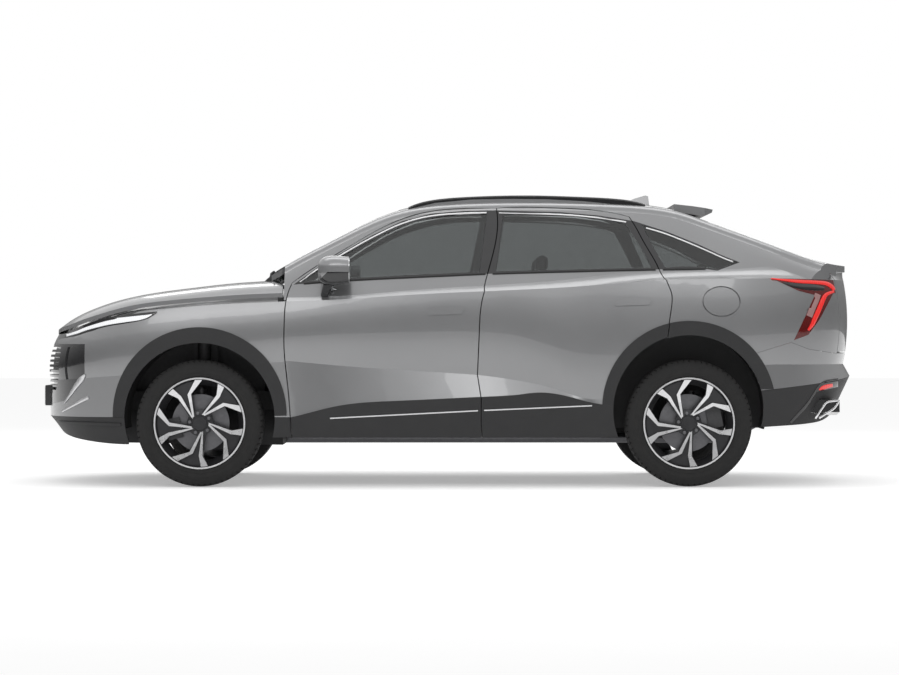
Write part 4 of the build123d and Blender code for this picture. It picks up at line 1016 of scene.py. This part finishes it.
def on_plate_holder(start, x, z):
    y = start.node("ShaderNodeSeparateXYZ", {}, {"Vector": object_place(start)}, out="Y")
    inside = (z > HOLDER_LOW) * (z < HOLDER_HIGH) * (y > -HOLDER_HALF) * (y < HOLDER_HALF)
    return inside * (x < HOLDER_BACK)


def in_grille_corner(start, x, z):
    above_blade = z > line_along_car(start, x, blade_edge, *CORNER_SPAN)
    return above_blade * (z < CORNER_TOP) * (x < CORNER_BACK)


def black_on_bumper(start, x, z):
    holder = on_plate_holder(start, x, z)
    beside = in_grille_corner(start, x, z)
    return holder + beside - holder * beside


def dull_black(start):
    grain = noise(start, object_place(start), 600.0, 3.0)
    tone = blend_colour(start, grain, (0.018, 0.018, 0.019, 1), (0.034, 0.034, 0.035, 1))
    return start.node("ShaderNodeBsdfPrincipled", {}, {"Base Color": tone, "Roughness": 0.5 + grain * 0.15,
                                                       "Specular IOR Level": 0.4})


def refinish(name, finish):
    nodes[name].data.materials.clear()
    nodes[name].data.materials.append(finish)


refinish("headlamps", two_tone("lamp_cover_and_paint", lacquer, black_gloss, beside_guide))
refinish("front_bumper", two_tone("bumper_paint_and_holder", lacquer, black_gloss, black_on_bumper))
refinish("roof_rails", two_tone("rail_black_and_paint", lacquer, black_gloss, above_rail_foot))
refinish("fenders", two_tone("fender_paint_and_cladding", lacquer, dull_black, below_sill))


def touch_up(name, finish, wanted):
    """Gives the faces of a node that wanted accepts another finish."""
    mesh = nodes[name].data
    mesh.materials.append(finish)
    for face in mesh.polygons:
        if wanted(face.center):
            face.material_index = len(mesh.materials) - 1


HOUSE_OUT, HOUSE_TOP, HOUSE_REACH, SILL_FOOT = 0.885, 0.90, 0.60, 0.33
COWL_EDGE, FLOOR_EDGE = -1.03, 0.95


def in_rear_house(c):
    axle = axle_of["wheel_rear_left"]
    near = math.hypot(c.x - axle.x, c.z - axle.z) < HOUSE_REACH
    return near and abs(c.y) < HOUSE_OUT and c.z < HOUSE_TOP


def behind_cowl_edge(start, x, z):
    return x > COWL_EDGE


def above_floor_edge(start, x, z):
    return z > FLOOR_EDGE


for tag in ("left", "right"):
    touch_up(f"body_side_{tag}", cladding, in_rear_house)
    touch_up(f"body_side_{tag}", cladding, lambda c: c.z < SILL_FOOT)
refinish("cowl", two_tone("cowl_black_and_paint", dull_black, lacquer, behind_cowl_edge))
refinish("floor_pan", two_tone("floor_black_and_paint", dull_black, lacquer, above_floor_edge))
touch_up("dashboard", paint, lambda c: c.x < -0.90 and abs(c.y) > 0.67)
print("finishes split")

# %% [markdown]
# ## Under the nose and on the glass
# A dark tray closes the engine bay from below, so no daylight shows behind the front wheels. It starts as a
# block whose top is opened. Two wipers lie at the foot of the windscreen, each a blade and an arm laid on
# the glass from above, and a third blade lies on the tailgate's glass.

# %% Tray
TRAY_SIZE, TRAY_MIDDLE, TRAY_RISE = (1.06, 0.84, 0.205), Vector((-1.50, 0, 0.3275)), 0.015
tray = block(TRAY_SIZE, TRAY_MIDDLE)
edit(tray)
pick(tray, lambda f: f.normal.z > 0.9)
bpy.ops.mesh.delete(type="FACE")
pick(tray, lambda e: all(v.co.z < 0.3 and v.co.x < -1.9 for v in e.verts), "edges")
bpy.ops.transform.translate(value=(0, 0, TRAY_RISE))
bpy.ops.object.mode_set(mode="OBJECT")
modify(tray, "SOLIDIFY", thickness=0.004, offset=0.0)
soften(tray, 0.0015)
settle(tray, "engine_tray", cladding, "body")

# %% Wipers
BLADE_WIDE, ARM_WIDE = 0.012, 0.016


def wiper(name, line, wide, thickness, targets, body="body", way="plan", out=1.9):
    band = ribbon(smooth_line(line, 5), wide, out, way)
    under = stand_in(*targets)
    press_on(band, under, 1, thickness, way, lift=0.001)
    bpy.data.objects.remove(under)
    settle(band, name, cladding, body)


left_blade = [(-1.010, -0.62), (-1.030, -0.40), (-1.045, -0.20), (-1.050, 0.02)]
left_arm = [(-1.062, 0.06), (-1.050, -0.10), (-1.036, -0.32)]
right_blade = [(-1.040, 0.10), (-1.035, 0.28), (-1.015, 0.46), (-0.995, 0.60)]
right_arm = [(-0.998, 0.57), (-1.014, 0.46), (-1.028, 0.34)]
rear_blade = [(0.06, 1.350), (0.18, 1.347), (0.34, 1.342)]
for name, line, wide, thickness in (
        ("wiper_blade_left", left_blade, BLADE_WIDE, 0.012), ("wiper_arm_left", left_arm, ARM_WIDE, 0.012),
        ("wiper_blade_right", right_blade, BLADE_WIDE, 0.012), ("wiper_arm_right", right_arm, ARM_WIDE, 0.010)):
    wiper(name, line, wide, thickness, ("windscreen", "cowl"))
wiper("rear_wiper_blade", rear_blade, BLADE_WIDE, 0.010, ("tailgate_glass", "tailgate"), "tailgate", "end", 2.6)
print("wipers on")

# %% [markdown]
# ## Mirror glasses
# Each mirror's rear face is copied from the shell, inset, and given a few millimetres of thickness.

# %% Mirror glass
silvered = bare_metal("mirror_silvering", (0.80, 0.81, 0.82), (0.86, 0.87, 0.88), 5.0, 0.01)


def lifted(name, wanted, inset, thickness):
    """A thin plate over the faces of a node that wanted accepts."""
    plate = stand_in(name)
    edit(plate)
    pick(plate, lambda f: not wanted(f))
    bpy.ops.mesh.delete(type="FACE")
    bpy.ops.mesh.select_all(action="SELECT")
    bpy.ops.mesh.remove_doubles(threshold=0.0001)
    bpy.ops.mesh.inset(thickness=inset)
    bpy.ops.mesh.select_all(action="INVERT")
    bpy.ops.mesh.delete(type="FACE")
    bpy.ops.mesh.select_all(action="SELECT")
    bpy.ops.mesh.extrude_region_shrink_fatten(TRANSFORM_OT_shrink_fatten={"value": thickness})
    face_out()
    return plate


def is_mirror_back(face):
    return face.normal.x > 0.9 and face.calc_center_median().z > 1.12


for tag in ("left", "right"):
    glass = lifted(f"front_door_trim_{tag}", is_mirror_back, 0.010, 0.002)
    settle(glass, f"mirror_glass_{tag}", silvered, f"front_door_{tag}")
    print("mirror glass", len(glass.data.polygons), "faces")

# %% [markdown]
# ## Seats
# A seat pad is foam under a sewn cover. Each one starts as a block with rounded edges, is remeshed evenly,
# and is blown up a little by cloth pressure; no point may move more than twelve millimetres. Bolsters and
# sewn channels are then pressed in along lines across the pad, and one subdivision smooths the cover.

# %% Filling a pad
PAD_MARGIN, PAD_GROWTH = 0.022, 0.012
PRESSURE, FRAMES = 4.0, 15
SEAM_DEPTH, SEAM_WIDTH = 0.010, 0.011


def soft_step(value, low, high):
    t = min(1.0, max(0.0, (value - low) / (high - low)))
    return t * t * (3 - 2 * t)


def pad(size, place, lean, voxel, bolster, seams, taper=1.0):
    """A stuffed pad about its own middle, its face up, then leant over and put in place."""
    long, wide, thick = size
    piece = block((long - PAD_MARGIN, wide - PAD_MARGIN, thick - PAD_MARGIN))
    edit(piece)
    pick(piece, lambda f: f.normal.x < -0.9)
    bpy.ops.transform.resize(value=(1, taper, 1))
    bpy.ops.object.mode_set(mode="OBJECT")
    modify(piece, "BEVEL", width=thick * 0.30, segments=4)
    modify(piece, "REMESH", mode="VOXEL", voxel_size=voxel)
    start_places = [v.co.copy() for v in piece.data.vertices]
    cloth = piece.modifiers.new("cloth", "CLOTH")
    cloth.settings.use_pressure = True
    cloth.settings.uniform_pressure_force = PRESSURE
    cloth.settings.effector_weights.gravity = 0.0
    for step in range(1, FRAMES + 1):
        bpy.context.scene.frame_set(step)
    bpy.ops.object.modifier_apply(modifier="cloth")
    bpy.context.scene.frame_set(1)
    for v, first in zip(piece.data.vertices, start_places):
        moved = v.co - first
        if moved.length > PAD_GROWTH:
            v.co = first + moved.normalized() * PAD_GROWTH
        top = soft_step(v.co.z, 0, thick * 0.4)
        side = soft_step(abs(v.co.y), wide * 0.27, wide * 0.40)
        dent = bolster * (1 - side)
        for across, where in seams:
            gap = (v.co.y if across == "y" else v.co.x) - where
            dent += SEAM_DEPTH * math.exp(-((gap / SEAM_WIDTH) ** 2))
        v.co.z -= dent * top
    modify(piece, "SUBSURF", levels=1, render_levels=1)
    piece.rotation_euler = (0, lean, 0)
    piece.location = place
    return piece


def seat_pad(name, *shape):
    piece = settle(pad(*shape), name, leather, "body", 60)
    print(name, len(piece.data.polygons), "faces")
    return piece


print("pad recipe ready")

# %% Front seats
LEFT_SEAT_Y = -0.370
cushion_seams = [("y", -0.135), ("y", 0.135), ("x", -0.10), ("x", 0.08)]
back_seams = [("y", -0.135), ("y", 0.135), ("x", -0.14), ("x", 0.02), ("x", 0.18)]
BACK_LEAN = math.radians(-90 + 19.8)
REST_LEAN = math.radians(-84)
front_pads = [
    seat_pad("front_cushion_left", (0.545, 0.485, 0.130), (0.085, LEFT_SEAT_Y, 0.508), 0.0, 0.013, 0.018,
             cushion_seams),
    seat_pad("front_back_left", (0.640, 0.480, 0.112), (0.432, LEFT_SEAT_Y, 0.872), BACK_LEAN, 0.013, 0.016,
             back_seams, 0.80),
    seat_pad("front_rest_left", (0.130, 0.262, 0.092), (0.551, LEFT_SEAT_Y, 1.282), REST_LEAN, 0.011, 0.0, []),
]

# %% Plinths and head-rest stems
plinth = block((0.46, 0.40, 0.118), (0.085, LEFT_SEAT_Y, 0.388))
edit(plinth)
pick(plinth, lambda f: f.normal.z > 0.9)
bpy.ops.transform.resize(value=(1.12, 1.14, 1))
pick(plinth, lambda f: abs(f.normal.y) > 0.9)
bpy.ops.mesh.inset(thickness=0.020)
bpy.ops.mesh.extrude_region_shrink_fatten(TRANSFORM_OT_shrink_fatten={"value": -0.010})
bpy.ops.object.mode_set(mode="OBJECT")
soften(plinth, 0.008, 3)
settle(plinth, "front_plinth_left", cabin_plastic, "body")

STEM_HALF_GAP = 0.07
let_go()
bpy.ops.mesh.primitive_cylinder_add(vertices=20, radius=0.007, depth=0.110,
                                    location=(0.532, LEFT_SEAT_Y - STEM_HALF_GAP, 1.195))
stem = bpy.context.object
stem.rotation_euler = (0, math.radians(12), 0)
bpy.ops.object.transform_apply(location=True, rotation=True)
soften(stem, 0.001)
settle(stem, "front_stem_left_1", satin_silver, "body")
second_stem = twin(stem, "front_stem_left_2", "body", Matrix.Translation((0, 2 * STEM_HALF_GAP, 0)))
for piece in [*front_pads, plinth, stem, second_stem]:
    copy = twin(piece, piece.name.replace("left", "right"), "body", MIRROR)
    piece in front_pads
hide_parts("front_seats")
print("front seats dressed")

# %% Rear bench
bench_seams = [("y", -0.19), ("y", 0.19), ("x", 0.02)]
bench = seat_pad("rear_cushion", (0.485, 1.165, 0.120), (1.095, 0, 0.629), 0.0, 0.018, 0.010, bench_seams)
seat_pad("rear_back", (0.540, 1.160, 0.110), (1.404, 0, 0.915), math.radians(-90 + 18.6), 0.018, 0.010,
         [("y", -0.19), ("y", 0.19), ("x", -0.10), ("x", 0.06)])
rest = seat_pad("rear_rest_left", (0.115, 0.216, 0.082), (1.496, -0.380, 1.242), REST_LEAN, 0.011, 0.0, [])
twin(rest, "rear_rest_right", "body", MIRROR)
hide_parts("rear_seat")

# %% [markdown]
# ## Dashboard
# A wide glass display stands on the dashboard, and the steering wheel's rim is wrapped in leather.

# %% Display and wheel rim
display = block((0.014, 0.62, 0.125))
edit(display)
pick(display, lambda f: f.normal.x > 0.9)
bpy.ops.mesh.inset(thickness=0.006)
bpy.ops.transform.translate(value=(-0.0015, 0, 0))
bpy.ops.object.mode_set(mode="OBJECT")
soften(display, 0.004, 3)
display.rotation_euler = (0, math.radians(-14), 0)
display.location = (-0.560, -0.120, 1.105)
settle(display, "display", gloss_black, "body")

wheel_hub = Vector((-0.400, LEFT_SEAT_Y, 0.930))
RIM_INSIDE, COLUMN_END = 0.155, -0.52
steering = nodes["steering_wheel"].data
steering.materials.append(leather)
for face in steering.polygons:
    on_rim = (face.center - wheel_hub).length > RIM_INSIDE and face.center.x > COLUMN_END
    face.material_index = int(on_rim)
print("cabin dressed")

# %% [markdown]
# ## Studio and camera
# The photograph was taken from far away, square to the left side, at about waist height. A long lens
# eighteen metres off gives the same mild perspective. The floor and sky are near white, and a dark band all
# round, seen only by reflections, keeps the flanks from washing out, as black flags do in a car studio.

# %% Pale floor
def seen_plainly(start):
    """One for rays from the camera, from a reflection or through glass, and zero for the light on the car."""
    camera, glossy, through = [start.node("ShaderNodeLightPath", {}, {}, out=f"Is {kind} Ray")
                               for kind in ("Camera", "Glossy", "Transmission")]
    return start.math("MAXIMUM", start.math("MAXIMUM", camera, glossy), through)


let_go()
bpy.ops.mesh.primitive_plane_add(size=90, location=(0, 0, -0.001))
floor = bpy.context.object
floor.name = "studio_floor"
floor_paper, start = new_finish("studio_paper")
grain = noise(start, object_place(start), 3.0, 3.0)
paper_colour = blend_colour(start, grain, (0.93, 0.93, 0.93, 1), (0.96, 0.96, 0.96, 1))
paper = start.node("ShaderNodeBsdfDiffuse", {}, {"Color": paper_colour})
glow = start.node("ShaderNodeEmission", {}, {"Color": (1, 1, 1, 1), "Strength": seen_plainly(start) * 0.36})
both = start.node("ShaderNodeAddShader", {}, {0: paper, 1: glow})
start.node("ShaderNodeOutputMaterial", {}, {"Surface": both})
floor.data.materials.append(floor_paper)
floor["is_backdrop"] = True
print("floor laid")

# %% Dark flags for the reflections
FLAG_RADIUS, FLAG_HEIGHT = 38.0, 13.0
bpy.ops.mesh.primitive_cylinder_add(vertices=96, radius=FLAG_RADIUS, depth=FLAG_HEIGHT,
                                    end_fill_type="NOTHING", location=(0, 0, FLAG_HEIGHT / 2))
flags = bpy.context.object
flags.name = "studio_flags"
bpy.ops.object.transform_apply(location=True)
flag_cloth, start = new_finish("flag_cloth")
height = start.node("ShaderNodeSeparateXYZ", {}, {"Vector": object_place(start)}, out="Z")
fade = start.node("ShaderNodeMapRange", {}, {"Value": height, "From Min": 0.0, "From Max": FLAG_HEIGHT,
                                             "To Min": 0.10, "To Max": 0.55})
glow = start.node("ShaderNodeEmission", {}, {"Color": blend_colour(start, fade, (0, 0, 0, 1), (1, 1, 1, 1))})
start.node("ShaderNodeOutputMaterial", {}, {"Surface": glow})
flags.data.materials.append(flag_cloth)
flags.visible_camera = False
flags.visible_diffuse = False
flags.visible_transmission = False
flags.visible_shadow = False
flags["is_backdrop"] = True
print("flags set")

# %% Sky and softboxes
scene = bpy.context.scene
scene.view_settings.view_transform = "Standard"
scene.world = bpy.data.worlds.new("studio_world")
scene.world.use_nodes = True
sky = Shade(scene.world.node_tree)
sky.tree.nodes.clear()
dim = sky.node("ShaderNodeBackground", {}, {"Color": (1, 1, 1, 1), "Strength": 0.62})
white = sky.node("ShaderNodeBackground", {}, {"Color": (1, 1, 1, 1), "Strength": 1.0})
both_skies = sky.node("ShaderNodeMixShader", {}, {0: seen_plainly(sky), 1: dim, 2: white})
sky.node("ShaderNodeOutputWorld", {}, {"Surface": both_skies})


def softbox(name, place, aim, size, radiance):
    """A rectangular lamp whose face is as bright as radiance says."""
    data = bpy.data.lights.new(name, "AREA")
    data.shape = "RECTANGLE"
    data.size, data.size_y = size
    data.energy = radiance * size[0] * size[1] * math.pi
    lamp = bpy.data.objects.new(name, data)
    scene.collection.objects.link(lamp)
    lamp.location = place
    lamp.rotation_euler = (Vector(aim) - Vector(place)).to_track_quat("-Z", "Y").to_euler()


softbox("overhead_softbox", (0, 0, 6.0), (0, 0, 0.8), (8.0, 2.2), 1.9)
softbox("left_softbox", (-0.6, -7.5, 5.0), (0, 0, 0.8), (8.0, 1.6), 2.2)
softbox("right_softbox", (0.6, 7.5, 5.0), (0, 0, 0.8), (8.0, 1.6), 2.2)
print("sky and softboxes lit")

# %% Camera at the photograph's place
SENSOR = 36.0
PHOTO_WIDTH = 899
camera_data = bpy.data.cameras.new("photo_camera")
camera = bpy.data.objects.new("photo_camera", camera_data)
scene.collection.objects.link(camera)
scene.camera = camera
camera_data.sensor_width = SENSOR
camera_data.lens = SENSOR * FOCAL_PIXELS / PHOTO_WIDTH
camera.location = (CAMERA_X, -CAMERA_BACK, CAMERA_HEIGHT)
camera.rotation_euler = (math.radians(90), 0, 0)
camera_data.clip_end = 200
print("lens", round(camera_data.lens, 1), "mm")

# %% Measure and finish
low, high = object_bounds()
print("visual box", low, high)
